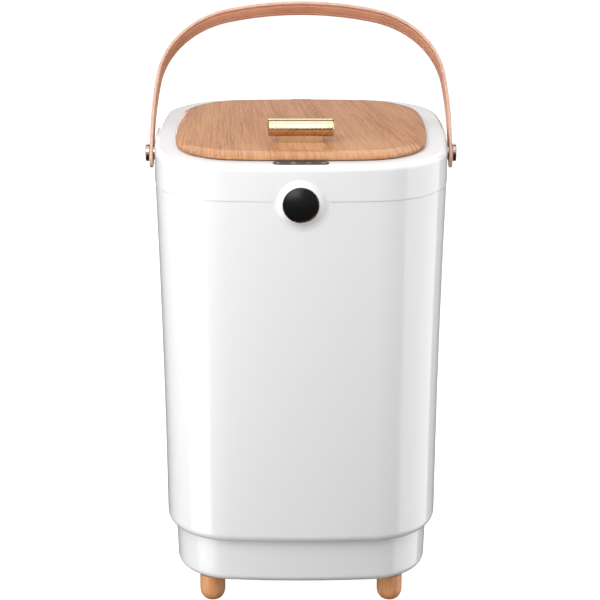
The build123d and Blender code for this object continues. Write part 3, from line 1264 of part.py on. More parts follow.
with BuildPart() as power_inlet:
    with BuildSketch(Plane.XZ.offset(-INLET_REAR_Y)):
        with Locations((0, INLET_Z)):
            RectangleRounded(INLET_WIDTH - 0.4, INLET_HEIGHT - 0.4, 3.8)
    extrude(amount=7)
    fillet(power_inlet.edges().group_by(Axis.Y)[-1], 0.8)
    with BuildSketch(Plane.XZ.offset(-INLET_REAR_Y + 7)):
        with Locations((0, INLET_Z)):
            RectangleRounded(28, 21, 2)
    extrude(amount=14)
    with BuildSketch(Plane.XZ.offset(-INLET_REAR_Y)):
        with Locations((0, INLET_Z)):
            RectangleRounded(SOCKET_WIDTH, SOCKET_HEIGHT, 2)
    extrude(amount=SOCKET_DEPTH, mode=Mode.SUBTRACT)
    with BuildSketch(Plane.XZ.offset(-INLET_REAR_Y + SOCKET_DEPTH)):
        with Locations((0, INLET_Z)):
            with GridLocations(7, 0, 3, 1):
                Rectangle(2, 4)
    extrude(amount=-10)
    with BuildSketch(Plane.XZ.offset(-INLET_REAR_Y)):
        with Locations((0, INLET_Z)):
            with GridLocations(INLET_SCREW_PITCH, 0, 2, 1):
                Circle(1.6)
    extrude(amount=7, mode=Mode.SUBTRACT)
power_inlet.part.label = "power_inlet"
export_step(power_inlet.part, "parts/power_inlet.step")

with BuildPart() as housing_screws:
    with BuildSketch(Plane.XY.offset(FOOT_HEIGHT - 14)):
        with GridLocations(2 * FOOT_X, 2 * FOOT_Y, 2, 2):
            Circle(2.4)
    extrude(amount=WALL + 14)
    with BuildSketch(Plane.XY.offset(BASE_FLOOR_TOP)):
        with GridLocations(2 * FOOT_X, 2 * FOOT_Y, 2, 2):
            Circle(4.5)
    extrude(amount=3)
    with BuildSketch(Plane((0, MOTOR_Y, PLATE_BOTTOM - 6))):
        with PolarLocations(MOTOR_SCREW_RADIUS, 4, 45):
            Circle(2)
    extrude(amount=PLATE_TOP - PLATE_BOTTOM + 6)
    with BuildSketch(Plane((0, MOTOR_Y, PLATE_TOP))):
        with PolarLocations(MOTOR_SCREW_RADIUS, 4, 45):
            Circle(3.6)
    extrude(amount=2.6)
    with BuildSketch(Plane.XZ.offset(-INLET_REAR_Y)):
        with Locations((0, INLET_Z)):
            with GridLocations(INLET_SCREW_PITCH, 0, 2, 1):
                Circle(1.6)
    extrude(amount=10)
    with BuildSketch(Plane.XZ.offset(-INLET_REAR_Y)):
        with Locations((0, INLET_Z)):
            with GridLocations(INLET_SCREW_PITCH, 0, 2, 1):
                Circle(3)
    extrude(amount=-1.5)
    fillet(housing_screws.edges().group_by(Axis.Y)[-1], 0.7)
housing_screws.part.label = "housing_screws"
export_step(housing_screws.part, "parts/housing_screws.step")

# ---- Electronics ------------------------------------------------------------------------------
BOARD_X = 74.0
BOARD_Y = -6.0
BOARD_Z = 42.0

with BuildPart() as control_board:
    with BuildSketch(Plane((BOARD_X, BOARD_Y, BASE_FLOOR_TOP))):
        with GridLocations(46, 86, 2, 2):
            Circle(3)
    extrude(amount=BOARD_Z - BASE_FLOOR_TOP)
    with BuildSketch(Plane((BOARD_X, BOARD_Y, BOARD_Z))):
        Rectangle(56, 96)
    extrude(amount=1.6)
    with BuildSketch(Plane((BOARD_X, BOARD_Y, BOARD_Z + 1.6))):
        with Locations((-4, 24)):
            Rectangle(34, 28)
    extrude(amount=26)
    with BuildSketch(Plane((BOARD_X, BOARD_Y, BOARD_Z + 1.6))):
        with Locations((16, -8)):
            Rectangle(14, 28)
    extrude(amount=16)
    with BuildSketch(Plane((BOARD_X, BOARD_Y, BOARD_Z + 1.6))):
        with Locations((-12, -10), (-12, -26)):
            Circle(6)
    extrude(amount=20)
    with BuildSketch(Plane((BOARD_X, BOARD_Y, BOARD_Z + 1.6))):
        with Locations((8, -38)):
            Rectangle(24, 9)
    extrude(amount=10)
control_board.part.label = "control_board"
export_step(control_board.part, "parts/control_board.step")

HARNESS_RADIUS = 2.5
HARNESS_START = (BOARD_X + 8, BOARD_Y - 38, BOARD_Z + 11.6)
CONNECTOR_X = 4.0
CONNECTOR_Y = -129.7
MAINS_START = (0, INLET_REAR_Y - 21, INLET_Z)
MAINS_X = BOARD_X + 16

with BuildPart() as wire_harness:
    with BuildLine():
        FilletPolyline(
            HARNESS_START,
            (HARNESS_START[0], HARNESS_START[1], 76),
            (HARNESS_X + 56, HARNESS_Y + 24, 82),
            (HARNESS_X + 36, HARNESS_Y + 4, 90),
            (HARNESS_X, HARNESS_Y, 110),
            (HARNESS_X, HARNESS_Y, 400),
            (CONNECTOR_X, CONNECTOR_Y, 424),
            (CONNECTOR_X, CONNECTOR_Y, DISPLAY_Z - 11.1),
            radius=(10, 12, 14, 20, 12, 8),
        )
    with BuildSketch(Plane(HARNESS_START)):
        Circle(HARNESS_RADIUS)
    sweep()
    with BuildLine():
        FilletPolyline(
            MAINS_START,
            (0, MAINS_START[1] - 20, INLET_Z),
            (60, MAINS_START[1] - 36, 100),
            (MAINS_X, 50, 86),
            (MAINS_X, BOARD_Y, 78),
            (MAINS_X, BOARD_Y, BOARD_Z + 17.7),
            radius=(16, 20, 20, 8),
        )
    with BuildSketch(Plane(origin=MAINS_START, z_dir=(0, -1, 0))):
        Circle(HARNESS_RADIUS + 0.5)
    sweep()
wire_harness.part.label = "wire_harness"
export_step(wire_harness.part, "parts/wire_harness.step")
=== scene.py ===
"""Looks of the waste compactor: its materials, the pieces made here, the studio and the camera."""
import json
import math

import bmesh
import bpy
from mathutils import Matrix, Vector


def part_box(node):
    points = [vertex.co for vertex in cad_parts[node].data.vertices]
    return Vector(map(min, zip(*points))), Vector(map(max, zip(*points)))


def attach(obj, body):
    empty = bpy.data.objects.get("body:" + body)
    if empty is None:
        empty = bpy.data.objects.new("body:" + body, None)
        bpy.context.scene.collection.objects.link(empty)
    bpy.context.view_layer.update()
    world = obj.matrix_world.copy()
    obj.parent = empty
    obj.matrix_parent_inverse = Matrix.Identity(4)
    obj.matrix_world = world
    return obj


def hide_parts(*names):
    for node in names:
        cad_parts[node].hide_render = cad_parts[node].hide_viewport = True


MM = 0.001
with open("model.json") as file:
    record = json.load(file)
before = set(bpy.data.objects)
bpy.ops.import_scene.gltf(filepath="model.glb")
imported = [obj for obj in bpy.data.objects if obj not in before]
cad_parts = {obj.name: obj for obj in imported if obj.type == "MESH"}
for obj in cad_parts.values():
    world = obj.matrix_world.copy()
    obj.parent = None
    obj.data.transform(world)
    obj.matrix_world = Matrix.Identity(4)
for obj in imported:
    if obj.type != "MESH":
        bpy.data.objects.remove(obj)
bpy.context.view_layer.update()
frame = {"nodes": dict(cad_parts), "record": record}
nodes = frame["nodes"]


# ---- Node trees -------------------------------------------------------------------------------
class Surface:
    """One material: a Principled shader and short calls for the nodes that feed it."""

    def __init__(self, name, **sockets):
        self.material = bpy.data.materials.new(name)
        self.material.use_nodes = True
        self.tree = self.material.node_tree
        self.shader = self.tree.nodes["Principled BSDF"]
        for socket, value in sockets.items():
            self.shader.inputs[socket.replace("_", " ")].default_value = value
        self.place = self.add("ShaderNodeTexCoord").outputs["Object"]

    def add(self, kind, links=None, **settings):
        """Add a node; settings are its properties or input values, links feed its inputs."""
        node = self.tree.nodes.new(kind)
        for key, value in settings.items():
            if hasattr(node, key):
                setattr(node, key, value)
            else:
                node.inputs[key.replace("_", " ")].default_value = value
        for key, source in (links or {}).items():
            self.tree.links.new(source, node.inputs[key])
        return node

    def stretched(self, scale, turn=(0, 0, 0), source=None):
        """Object coordinates turned and scaled, so that a pattern has its own grain direction."""
        links = {"Vector": source or self.place}
        return self.add("ShaderNodeMapping", links, Scale=scale, Rotation=turn).outputs["Vector"]

    def noise(self, vector, scale, detail=4.0, roughness=0.5, distortion=0.0):
        """Cloudy noise at a vector, from 0 to 1."""
        return self.add(
            "ShaderNodeTexNoise", {"Vector": vector}, Scale=scale, Detail=detail, Roughness=roughness,
            Distortion=distortion,
        ).outputs["Fac"]

    def ramp(self, factor, stops):
        """Colour ramp; stops are (position, colour) with colour one number or three."""
        node = self.add("ShaderNodeValToRGB", {"Fac": factor})
        elements = node.color_ramp.elements
        while len(elements) < len(stops):
            elements.new(0.5)
        for element, (position, colour) in zip(elements, stops):
            element.position = position
            element.color = (*((colour,) * 3 if isinstance(colour, float) else colour), 1.0)
        return node.outputs["Color"]

    def math(self, operation, first, second=0.0):
        """A sum on two values, each a number or another node's output."""
        node = self.add("ShaderNodeMath", operation=operation)
        for socket, value in zip(node.inputs, (first, second)):
            if isinstance(value, (int, float)):
                socket.default_value = value
            else:
                self.tree.links.new(value, socket)
        return node.outputs["Value"]

    def mix(self, factor, tone, colour):
        """Blend a tone towards one plain colour, as far as the factor says."""
        node = self.add("ShaderNodeMix", data_type="RGBA")
        sockets = {socket.identifier: socket for socket in node.inputs}
        self.tree.links.new(factor, sockets["Factor_Float"])
        self.tree.links.new(tone, sockets["A_Color"])
        sockets["B_Color"].default_value = (*colour, 1.0)
        return next(socket for socket in node.outputs if socket.identifier == "Result_Color")

    def feed(self, socket, source):
        """Link a node's output to an input of the Principled shader."""
        self.tree.links.new(source, self.shader.inputs[socket])

    def bump(self, height, strength, distance, after=None):
        """Bumped normals, laid over those of an earlier bump if there is one."""
        links = {"Height": height}
        if after is not None:
            links["Normal"] = after
        return self.add("ShaderNodeBump", links, Strength=strength, Distance=distance).outputs["Normal"]


# ---- Materials --------------------------------------------------------------------------------
def white_gloss():
    """Injection-moulded white plastic: glossy, with faint flow marks and orange peel."""
    s = Surface("white_gloss", Roughness=0.14, IOR=1.5, Coat_Weight=0.35, Coat_Roughness=0.04)
    flow = s.noise(s.stretched((1, 1, 0.25)), 6.0, 2.0)
    s.feed("Base Color", s.ramp(flow, ((0.3, (0.80, 0.80, 0.805)), (0.7, (0.835, 0.835, 0.838)))))
    s.feed("Roughness", s.ramp(s.noise(s.place, 55.0, 3.0), ((0.3, 0.11), (0.75, 0.17))))
    peel = s.noise(s.place, 420.0, 2.0)
    s.feed("Normal", s.bump(peel, 0.035, 0.0004))
    return s.material


GRAIN_ORIGIN = (-0.11, 0.82)
RINGS_PER_METRE = 230.0
RING_WARP = 9.0


def fan_grain(s):
    """Coordinates of grain that fans out from a point behind the lid: across, along, up."""
    from_origin = s.add("ShaderNodeVectorMath", {0: s.place}, operation="SUBTRACT")
    from_origin.inputs[1].default_value = (*GRAIN_ORIGIN, 0.0)
    split = s.add("ShaderNodeSeparateXYZ", {"Vector": from_origin.outputs["Vector"]})
    away = s.math("MULTIPLY", split.outputs["Y"], -1.0)
    turn = s.math("ARCTAN2", split.outputs["X"], away)
    across = s.math("MULTIPLY", turn, GRAIN_ORIGIN[1])
    joined = s.add("ShaderNodeCombineXYZ", {"X": across, "Y": away, "Z": split.outputs["Z"]})
    return joined.outputs["Vector"]


def growth_rings(s, grain_place):
    """Growth rings cut lengthwise: bands with a sharp dark side, wandering a little."""
    warp = s.noise(s.stretched((30, 11, 8), source=grain_place), 1.0, 4.0, 0.6)
    across = s.add("ShaderNodeSeparateXYZ", {"Vector": grain_place}).outputs["X"]
    rings = s.math("ADD", s.math("MULTIPLY", across, RINGS_PER_METRE), s.math("MULTIPLY", warp, RING_WARP))
    stops = ((0.0, 0.15), (0.14, 0.85), (0.55, 0.62), (0.90, 0.35), (1.0, 0.15))
    return s.ramp(s.math("FRACT", rings), stops)


def oak_lid():
    """Lacquered oak: fine grain lines fanning out to the front, pores and a glossy coat."""
    s = Surface("oak_lid", Roughness=0.42, Specular_IOR_Level=0.18, Coat_Weight=0.34, Coat_Roughness=0.10)
    grain_place = fan_grain(s)
    rings = growth_rings(s, grain_place)
    streak = s.noise(s.stretched((620, 14, 60), source=grain_place), 1.0, 4.0, 0.65, 0.4)
    fibre = s.noise(s.stretched((1900, 90, 200), source=grain_place), 1.0, 4.0, 0.65)
    broad = s.noise(s.stretched((20, 4, 8), source=grain_place), 1.0, 3.0)
    wood = ((0.0, (0.35, 0.140, 0.048)), (0.5, (0.49, 0.215, 0.082)), (1.0, (0.56, 0.268, 0.112)))
    tone = s.ramp(rings, wood)
    tone = s.mix(s.ramp(streak, ((0.46, 0.0), (0.58, 0.75))), tone, (0.27, 0.098, 0.031))
    tone = s.mix(s.ramp(fibre, ((0.45, 0.0), (0.68, 0.50))), tone, (0.30, 0.114, 0.040))
    tone = s.mix(s.ramp(broad, ((0.40, 0.0), (0.66, 0.36))), tone, (0.68, 0.365, 0.180))
    s.feed("Base Color", tone)
    s.feed("Roughness", s.ramp(fibre, ((0.3, 0.36), (0.75, 0.52))))
    pores = s.bump(fibre, 0.18, 0.00025)
    s.feed("Normal", s.bump(streak, 0.10, 0.0003, pores))
    return s.material


def beech_foot():
    """Turned beech: upright grain with short dark flecks, oiled."""
    s = Surface("beech_foot", Roughness=0.42, Coat_Weight=0.25, Coat_Roughness=0.25)
    long_grain = s.noise(s.stretched((260, 260, 26)), 1.0, 4.0, 0.6)
    flecks = s.noise(s.stretched((900, 900, 160)), 1.0, 2.0, 0.5)
    wood = ((0.25, (0.53, 0.215, 0.083)), (0.55, (0.70, 0.315, 0.135)), (0.8, (0.78, 0.38, 0.175)))
    tone = s.ramp(long_grain, wood)
    tone = s.mix(s.ramp(flecks, ((0.60, 0.0), (0.72, 0.6))), tone, (0.40, 0.150, 0.055))
    s.feed("Base Color", tone)
    s.feed("Roughness", s.ramp(long_grain, ((0.2, 0.36), (0.8, 0.5))))
    s.feed("Normal", s.bump(flecks, 0.12, 0.0002))
    return s.material


def tan_leather():
    """Vegetable-tanned leather, smooth side out, with fine pebbled grain and cloudy tone."""
    s = Surface("tan_leather", Roughness=0.42, Coat_Weight=0.22, Coat_Roughness=0.28, Sheen_Weight=0.08)
    cloud = s.noise(s.place, 26.0, 4.0, 0.55)
    cells = s.add("ShaderNodeTexVoronoi", {"Vector": s.place}, Scale=1900.0, feature="DISTANCE_TO_EDGE")
    fine = s.noise(s.place, 2600.0, 3.0, 0.6)
    tans = ((0.28, (0.66, 0.290, 0.160)), (0.52, (0.77, 0.375, 0.225)), (0.78, (0.85, 0.455, 0.300)))
    tone = s.ramp(cloud, tans)
    tone = s.mix(s.ramp(cells.outputs["Distance"], ((0.0, 0.35), (0.22, 0.0))), tone, (0.42, 0.165, 0.085))
    s.feed("Base Color", tone)
    s.feed("Roughness", s.ramp(fine, ((0.3, 0.36), (0.7, 0.52))))
    pebbles = s.bump(cells.outputs["Distance"], 0.16, 0.00018)
    s.feed("Normal", s.bump(fine, 0.06, 0.0001, pebbles))
    return s.material


def strap_edge():
    """Burnished cut edge of the leather, a little pinker than its face."""
    s = Surface("strap_edge", Roughness=0.40, Coat_Weight=0.25, Coat_Roughness=0.25)
    layers = s.noise(s.stretched((120, 120, 120)), 1.0, 4.0, 0.6)
    s.feed("Base Color", s.ramp(layers, ((0.3, (0.56, 0.325, 0.235)), (0.7, (0.65, 0.40, 0.30)))))
    s.feed("Roughness", s.ramp(s.noise(s.place, 900.0), ((0.3, 0.34), (0.7, 0.48))))
    s.feed("Normal", s.bump(s.noise(s.place, 1500.0, 3.0), 0.08, 0.0001))
    return s.material


def painted_crease_line(name, dark, light):
    """Colour of a crease line along the strap, mottled by noise: the dark one is painted shade in the
    crease, the pale one a painted highlight beside it.
    """
    s = Surface(name, Roughness=0.45)
    crease_mottle = s.noise(s.place, 240.0, 3.0, 0.6)
    s.feed("Base Color", s.ramp(crease_mottle, ((0.35, dark), (0.65, light))))
    s.feed("Roughness", s.ramp(crease_mottle, ((0.3, 0.36), (0.7, 0.55))))
    return s.material


def polished_brass():
    """Polished, lacquered brass with hairline lathe marks round the bar."""
    s = Surface("polished_brass", Metallic=1.0, Roughness=0.14, Coat_Weight=0.3, Coat_Roughness=0.05)
    lathe = s.noise(s.stretched((2200, 40, 40)), 1.0, 3.0, 0.6)
    cloud = s.noise(s.place, 60.0, 3.0)
    s.feed("Base Color", s.ramp(cloud, ((0.3, (0.61, 0.44, 0.27)), (0.7, (0.69, 0.51, 0.33)))))
    s.feed("Roughness", s.ramp(lathe, ((0.3, 0.11), (0.7, 0.19))))
    s.feed("Normal", s.bump(lathe, 0.03, 0.00005))
    return s.material


def dark_bronze():
    """Blackened bronze of the pivot bolts, polished, worn a little brighter in patches."""
    s = Surface("dark_bronze", Metallic=1.0, Roughness=0.14)
    wear = s.noise(s.place, 320.0, 4.0, 0.6)
    s.feed("Base Color", s.ramp(wear, ((0.35, (0.36, 0.27, 0.24)), (0.75, (0.52, 0.41, 0.37)))))
    s.feed("Roughness", s.ramp(wear, ((0.3, 0.09), (0.8, 0.22))))
    s.feed("Normal", s.bump(s.noise(s.place, 1800.0, 2.0), 0.04, 0.0001))
    return s.material


def bronze_ring():
    """Thin satin bronze ring round the display."""
    s = Surface("bronze_ring", Metallic=1.0, Roughness=0.24)
    spin = s.noise(s.place, 900.0, 3.0)
    s.feed("Base Color", s.ramp(spin, ((0.3, (0.20, 0.135, 0.095)), (0.7, (0.34, 0.24, 0.17)))))
    s.feed("Roughness", s.ramp(spin, ((0.3, 0.18), (0.7, 0.32))))
    return s.material


def black_glass():
    """Opaque black display glass with a thin clear coat and the faintest dust."""
    s = Surface("black_glass", Roughness=0.20, IOR=1.5, Coat_Weight=1.0, Coat_Roughness=0.16)
    dust = s.noise(s.place, 700.0, 2.0)
    s.feed("Base Color", s.ramp(dust, ((0.4, (0.0015, 0.0015, 0.0016)), (0.8, (0.004, 0.004, 0.0044)))))
    s.feed("Roughness", s.ramp(s.noise(s.place, 90.0), ((0.3, 0.17), (0.8, 0.23))))
    return s.material


def strip_satin():
    """Smoked satin window of the indicator strip."""
    s = Surface("strip_satin", Roughness=0.42, Specular_IOR_Level=0.3)
    haze = s.noise(s.place, 500.0, 2.0)
    s.feed("Base Color", s.ramp(haze, ((0.3, (0.024, 0.021, 0.020)), (0.7, (0.038, 0.034, 0.033)))))
    s.feed("Roughness", s.ramp(haze, ((0.3, 0.38), (0.7, 0.50))))
    return s.material


def icon_print():
    """Pale grey screen-printed ink."""
    s = Surface("icon_print", Roughness=0.5)
    grain = s.noise(s.place, 3000.0, 2.0)
    s.feed("Base Color", s.ramp(grain, ((0.3, (0.26, 0.25, 0.25)), (0.7, (0.36, 0.35, 0.35)))))
    return s.material


def moulded(name, dark, light, roughness=0.5):
    """Textured moulded plastic or rubber in a given tone."""
    s = Surface(name, Roughness=roughness)
    texture = s.noise(s.place, 1400.0, 2.0, 0.5)
    s.feed("Base Color", s.ramp(s.noise(s.place, 30.0, 3.0), ((0.3, dark), (0.7, light))))
    s.feed("Roughness", s.ramp(texture, ((0.3, roughness - 0.06), (0.7, roughness + 0.08))))
    s.feed("Normal", s.bump(texture, 0.15, 0.0002))
    return s.material


def sheet_metal(name, dark, light, scale, roughness=0.3):
    """Drawn or brushed metal; its scratches are long on the axes with the lowest scale."""
    s = Surface(name, Metallic=1.0, Roughness=roughness)
    brushing = s.noise(s.stretched(scale), 1.0, 4.0, 0.6)
    s.feed("Base Color", s.ramp(s.noise(s.place, 22.0, 3.0), ((0.3, dark), (0.7, light))))
    s.feed("Roughness", s.ramp(brushing, ((0.25, roughness - 0.08), (0.75, roughness + 0.12))))
    s.feed("Normal", s.bump(brushing, 0.06, 0.0001))
    return s.material


def circuit_board():
    """Green solder mask with a fine track pattern."""
    s = Surface("circuit_board", Roughness=0.35, Coat_Weight=0.4)
    tracks = s.add("ShaderNodeTexBrick", {"Vector": s.place}, Scale=160.0)
    tracks.inputs["Color1"].default_value = (0.012, 0.10, 0.035, 1)
    tracks.inputs["Color2"].default_value = (0.016, 0.13, 0.045, 1)
    tracks.inputs["Mortar"].default_value = (0.30, 0.22, 0.06, 1)
    s.feed("Base Color", tracks.outputs["Color"])
    s.feed("Roughness", s.ramp(s.noise(s.place, 300.0), ((0.3, 0.28), (0.7, 0.45))))
    return s.material


def carbon_felt():
    """Black filter felt with granules."""
    s = Surface("carbon_felt", Roughness=0.9, Sheen_Weight=0.2)
    grains = s.add("ShaderNodeTexVoronoi", {"Vector": s.place}, Scale=420.0)
    blacks = ((0.0, (0.05, 0.05, 0.05)), (0.8, (0.012, 0.012, 0.012)))
    s.feed("Base Color", s.ramp(grains.outputs["Distance"], blacks))
    s.feed("Normal", s.bump(grains.outputs["Distance"], 0.5, 0.001))
    return s.material


STEEL_TONES = ((0.42, 0.42, 0.43), (0.58, 0.58, 0.59))
ALUMINIUM_TONES = ((0.58, 0.58, 0.59), (0.72, 0.72, 0.73))
LOOKS = {
    "white_gloss": white_gloss(),
    "lid_wood": oak_lid(),
    "foot_wood": beech_foot(),
    "strap_tan": tan_leather(),
    "brass": polished_brass(),
    "dark_metal": dark_bronze(),
    "black_glass": black_glass(),
    "bronze_trim": bronze_ring(),
    "grey_strip": strip_satin(),
    "black_plastic": moulded("black_plastic", (0.012, 0.012, 0.013), (0.022, 0.022, 0.024)),
    "grey_plastic": moulded("grey_plastic", (0.30, 0.31, 0.32), (0.40, 0.41, 0.42), 0.42),
    "seal_rubber": moulded("seal_rubber", (0.10, 0.10, 0.105), (0.16, 0.16, 0.165), 0.6),
    "harness_rubber": moulded("harness_rubber", (0.012, 0.012, 0.012), (0.02, 0.02, 0.02), 0.55),
    "circuit_board": circuit_board(),
    "steel": sheet_metal("steel", *STEEL_TONES, (30, 30, 900)),
    "aluminium": sheet_metal("aluminium", *ALUMINIUM_TONES, (40, 40, 1100), 0.26),
    "bushing_brass": sheet_metal("bushing_brass", (0.45, 0.28, 0.10), (0.60, 0.40, 0.16), (300, 300, 300)),
    "carbon": carbon_felt(),
}
STRAP_EDGE = strap_edge()
# The strap's two crease lines: the dark one is painted shade, the pale one a painted highlight.
CREASE_PAINTED_SHADE = painted_crease_line("strap_crease_painted_shade", (0.17, 0.060, 0.032), (0.26, 0.100, 0.055))
CREASE_PAINTED_HIGHLIGHT = painted_crease_line("strap_crease_painted_highlight", (0.66, 0.36, 0.25), (0.78, 0.48, 0.36))
ICON_PRINT = icon_print()


def dress_cad_nodes():
    """Give each CAD node the material of its slot in the record."""
    for row in frame["record"]["subparts"]:
        mesh = nodes[row["node"]].data
        mesh.materials.clear()
        mesh.materials.append(LOOKS[row["material_slot"]])


# ---- Pieces made here -------------------------------------------------------------------------
def mesh_object(name, points, faces, materials):
    """A mesh object in the scene, with its materials."""
    mesh = bpy.data.meshes.new(name)
    mesh.from_pydata([tuple(p) for p in points], [], faces)
    mesh.validate()
    for material in materials:
        mesh.materials.append(material)
    thing = bpy.data.objects.new(name, mesh)
    bpy.context.scene.collection.objects.link(thing)
    return thing


def new_piece(name, points, faces, materials, body, smooth=True):
    """A mesh object that rides on a body, with smooth faces unless told otherwise."""
    piece = mesh_object(name, points, faces, materials)
    for polygon in piece.data.polygons:
        polygon.use_smooth = smooth
    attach(piece, body)
    return piece


def ring_quads(rows, size, start=0):
    """Quads that join each ring of points to the next one."""
    faces = []
    for row in range(rows - 1):
        near = start + row * size
        far = near + size
        for i in range(size):
            j = (i + 1) % size
            faces.append((near + i, near + j, far + j, far + i))
    return faces


def end_faces(rows, size, start=0):
    """A flat face over the first ring and another over the last."""
    last = start + (rows - 1) * size
    return [tuple(reversed(range(start, start + size))), tuple(range(last, last + size))]


def tidy_mesh(mesh, merge=0.02 * MM):
    """Merge stacked points, drop flat faces and turn every face outward."""
    work = bmesh.new()
    work.from_mesh(mesh)
    bmesh.ops.remove_doubles(work, verts=work.verts, dist=merge)
    bmesh.ops.dissolve_degenerate(work, edges=work.edges, dist=merge / 4)
    bmesh.ops.recalc_face_normals(work, faces=work.faces)
    work.to_mesh(mesh)
    work.free()


# The bail: the same arch as its CAD solid, with burnished edges and two creased lines along each side, one
# coloured as painted shade and one as a painted highlight.
BAIL_HALF_WIDTH = 156.6 * MM
BAIL_RISE = 180.7 * MM
BAIL_DATUM = 20.0 * MM
BAIL_CORNER = 97.8 * MM
BAIL_SIDE_BULGE = 3.6 * MM
BAIL_TOP_BULGE = 6.7 * MM
BAIL_LEAN = math.radians(45)
STRAP_THICKNESS = 3.4 * MM
STRAP_WIDTH = 22.5 * MM
BAIL_TAIL = 16.5 * MM
TAIL_CAP = STRAP_WIDTH / 2
TAIL_END_HALF = 0.4 * MM
ARC_STEPS = 14
EDGE_ROUND = 1.1 * MM
EDGE_ZONE = 1.6 * MM
EDGE_STEPS = 5
DARK_LINE_AT = 2.4 * MM
PALE_LINE_AT = 4.5 * MM
DARK_HALF = 0.4 * MM
PALE_HALF = 1.0 * MM
LINE_SLOPE = 0.25 * MM
LINE_DEPTH = 0.2 * MM
# DARK and PALE index the crease colours: painted shade and a painted highlight.
FACE, EDGE, DARK, PALE = range(4)
CREASES = ((PALE, PALE_LINE_AT, PALE_HALF), (DARK, DARK_LINE_AT, DARK_HALF))
PIVOT_Z = (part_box("pivot_bolts")[0].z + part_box("pivot_bolts")[1].z) / 2


def shallow_radius(bulge, along):
    """Radius of the shallow arc that meets a corner arc smoothly."""
    return BAIL_CORNER + (bulge**2 + along**2) / (2 * bulge)


def arc(centre_x, centre_y, radius, first, last, steps):
    """Places on an arc, each with the angle of its outward normal, up to but not with the last."""
    places = []
    for i in range(steps):
        angle = first + (last - first) * i / steps
        places.append((centre_x + radius * math.cos(angle), centre_y + radius * math.sin(angle), angle))
    return places


def tail_path():
    """The straight tail, with its places set close round the rounded end."""
    straight = BAIL_DATUM + BAIL_TAIL - TAIL_CAP
    path = []
    for i in range(ARC_STEPS):
        turn = math.pi / 2 * i / ARC_STEPS
        path.append((BAIL_HALF_WIDTH, -BAIL_TAIL + TAIL_CAP * (1 - math.cos(turn)), 0.0))
    for i in range(ARC_STEPS):
        path.append((BAIL_HALF_WIDTH, -BAIL_TAIL + TAIL_CAP + straight * i / ARC_STEPS, 0.0))
    return path


def right_half_path():
    """Right half of the strap's outer face, tail to top: (x, y, angle of the outward normal)."""
    centre_x = BAIL_HALF_WIDTH - BAIL_SIDE_BULGE - BAIL_CORNER
    centre_y = BAIL_RISE - BAIL_TOP_BULGE - BAIL_CORNER
    side = shallow_radius(BAIL_SIDE_BULGE, centre_y - BAIL_DATUM)
    crown = shallow_radius(BAIL_TOP_BULGE, centre_x)
    side_angle = math.atan2(centre_y - BAIL_DATUM, centre_x - (BAIL_HALF_WIDTH - side))
    crown_angle = math.atan2(centre_y - (BAIL_RISE - crown), centre_x)
    path = tail_path()
    path += arc(BAIL_HALF_WIDTH - side, BAIL_DATUM, side, 0.0, side_angle, ARC_STEPS)
    path += arc(centre_x, centre_y, BAIL_CORNER, side_angle, crown_angle, 2 * ARC_STEPS)
    path += arc(0.0, BAIL_RISE - crown, crown, crown_angle, math.pi / 2, ARC_STEPS)
    path.append((0.0, BAIL_RISE, math.pi / 2))
    return path


def strap_section():
    """The strap's section, once round: (side, distance in from the edge, depth from the outer face)."""
    line = [(STRAP_WIDTH / 2, 0.0), (STRAP_WIDTH / 3, 0.0)]
    for _, middle, half in CREASES:
        line.append((middle + half + LINE_SLOPE, 0.0))
        line.append((middle + half, LINE_DEPTH))
        line.append((middle - half, LINE_DEPTH))
        line.append((middle - half - LINE_SLOPE, 0.0))
    line.append((EDGE_ZONE, 0.0))
    for i in range(EDGE_STEPS + 1):
        angle = math.pi / 2 * i / EDGE_STEPS
        line.append((EDGE_ROUND * (1 - math.sin(angle)), EDGE_ROUND * (1 - math.cos(angle))))
    line += [(inward, STRAP_THICKNESS - depth) for inward, depth in reversed(line)]
    right = [(1, inward, depth) for inward, depth in line]
    left = [(-1, inward, depth) for inward, depth in reversed(line[1:-1])]
    return right + left


def strap_material(spots):
    """Index of a strap face's material, from where its corners lie in the section."""
    inward = sorted(spot[1] for spot in spots)
    if inward[-1] < EDGE_ZONE:
        return EDGE
    near = LINE_SLOPE / 2
    for index, middle, half in CREASES:
        if abs(inward[0] - middle + half) < near and abs(inward[-1] - middle - half) < near:
            return index
    return FACE


def strap_reach(from_end):
    """Half of the strap's width, which shrinks round the tail's rounded end."""
    if from_end >= TAIL_CAP:
        return TAIL_CAP
    return max(TAIL_END_HALF, math.sqrt(max(0.0, TAIL_CAP**2 - (TAIL_CAP - from_end) ** 2)))


def strap_points(path, section):
    """The section's points at each place on the path, in the leaning plane of the arch."""
    up = Vector((0, math.cos(BAIL_LEAN), math.sin(BAIL_LEAN)))
    front = Vector((0, -math.sin(BAIL_LEAN), math.cos(BAIL_LEAN)))
    pivot = Vector((0, 0, PIVOT_Z))
    points = []
    for x, y, angle in path:
        outward = Vector((1, 0, 0)) * math.cos(angle) + up * math.sin(angle)
        centre = pivot + Vector((x, 0, 0)) + up * y
        reach = strap_reach(y + BAIL_TAIL)
        for side, inward, depth in section:
            points.append(centre + front * side * max(reach - inward, 0.0) - outward * depth)
    return points


def build_bail():
    """The leather strap as one closed tube of quads along the arch."""
    right = right_half_path()
    path = right + [(-x, y, math.pi - angle) for x, y, angle in reversed(right[:-1])]
    section = strap_section()
    size = len(section)
    faces = ring_quads(len(path), size) + end_faces(len(path), size)
    leathers = (LOOKS["strap_tan"], STRAP_EDGE, CREASE_PAINTED_SHADE, CREASE_PAINTED_HIGHLIGHT)
    bail = new_piece("leather_bail", strap_points(path, section), faces, leathers, "bail")
    for polygon in bail.data.polygons:
        spots = [section[v % size] for v in polygon.vertices]
        if len(spots) == 4:
            polygon.material_index = strap_material(spots)
    tidy_mesh(bail.data)
    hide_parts("bail_strap")


LENS_RISE = 1.1 * MM
LENS_RIM_ROUND = 1.3 * MM
LENS_DOME_STEPS = 14
LENS_RIM_STEPS = 8
LENS_TURNS = 96


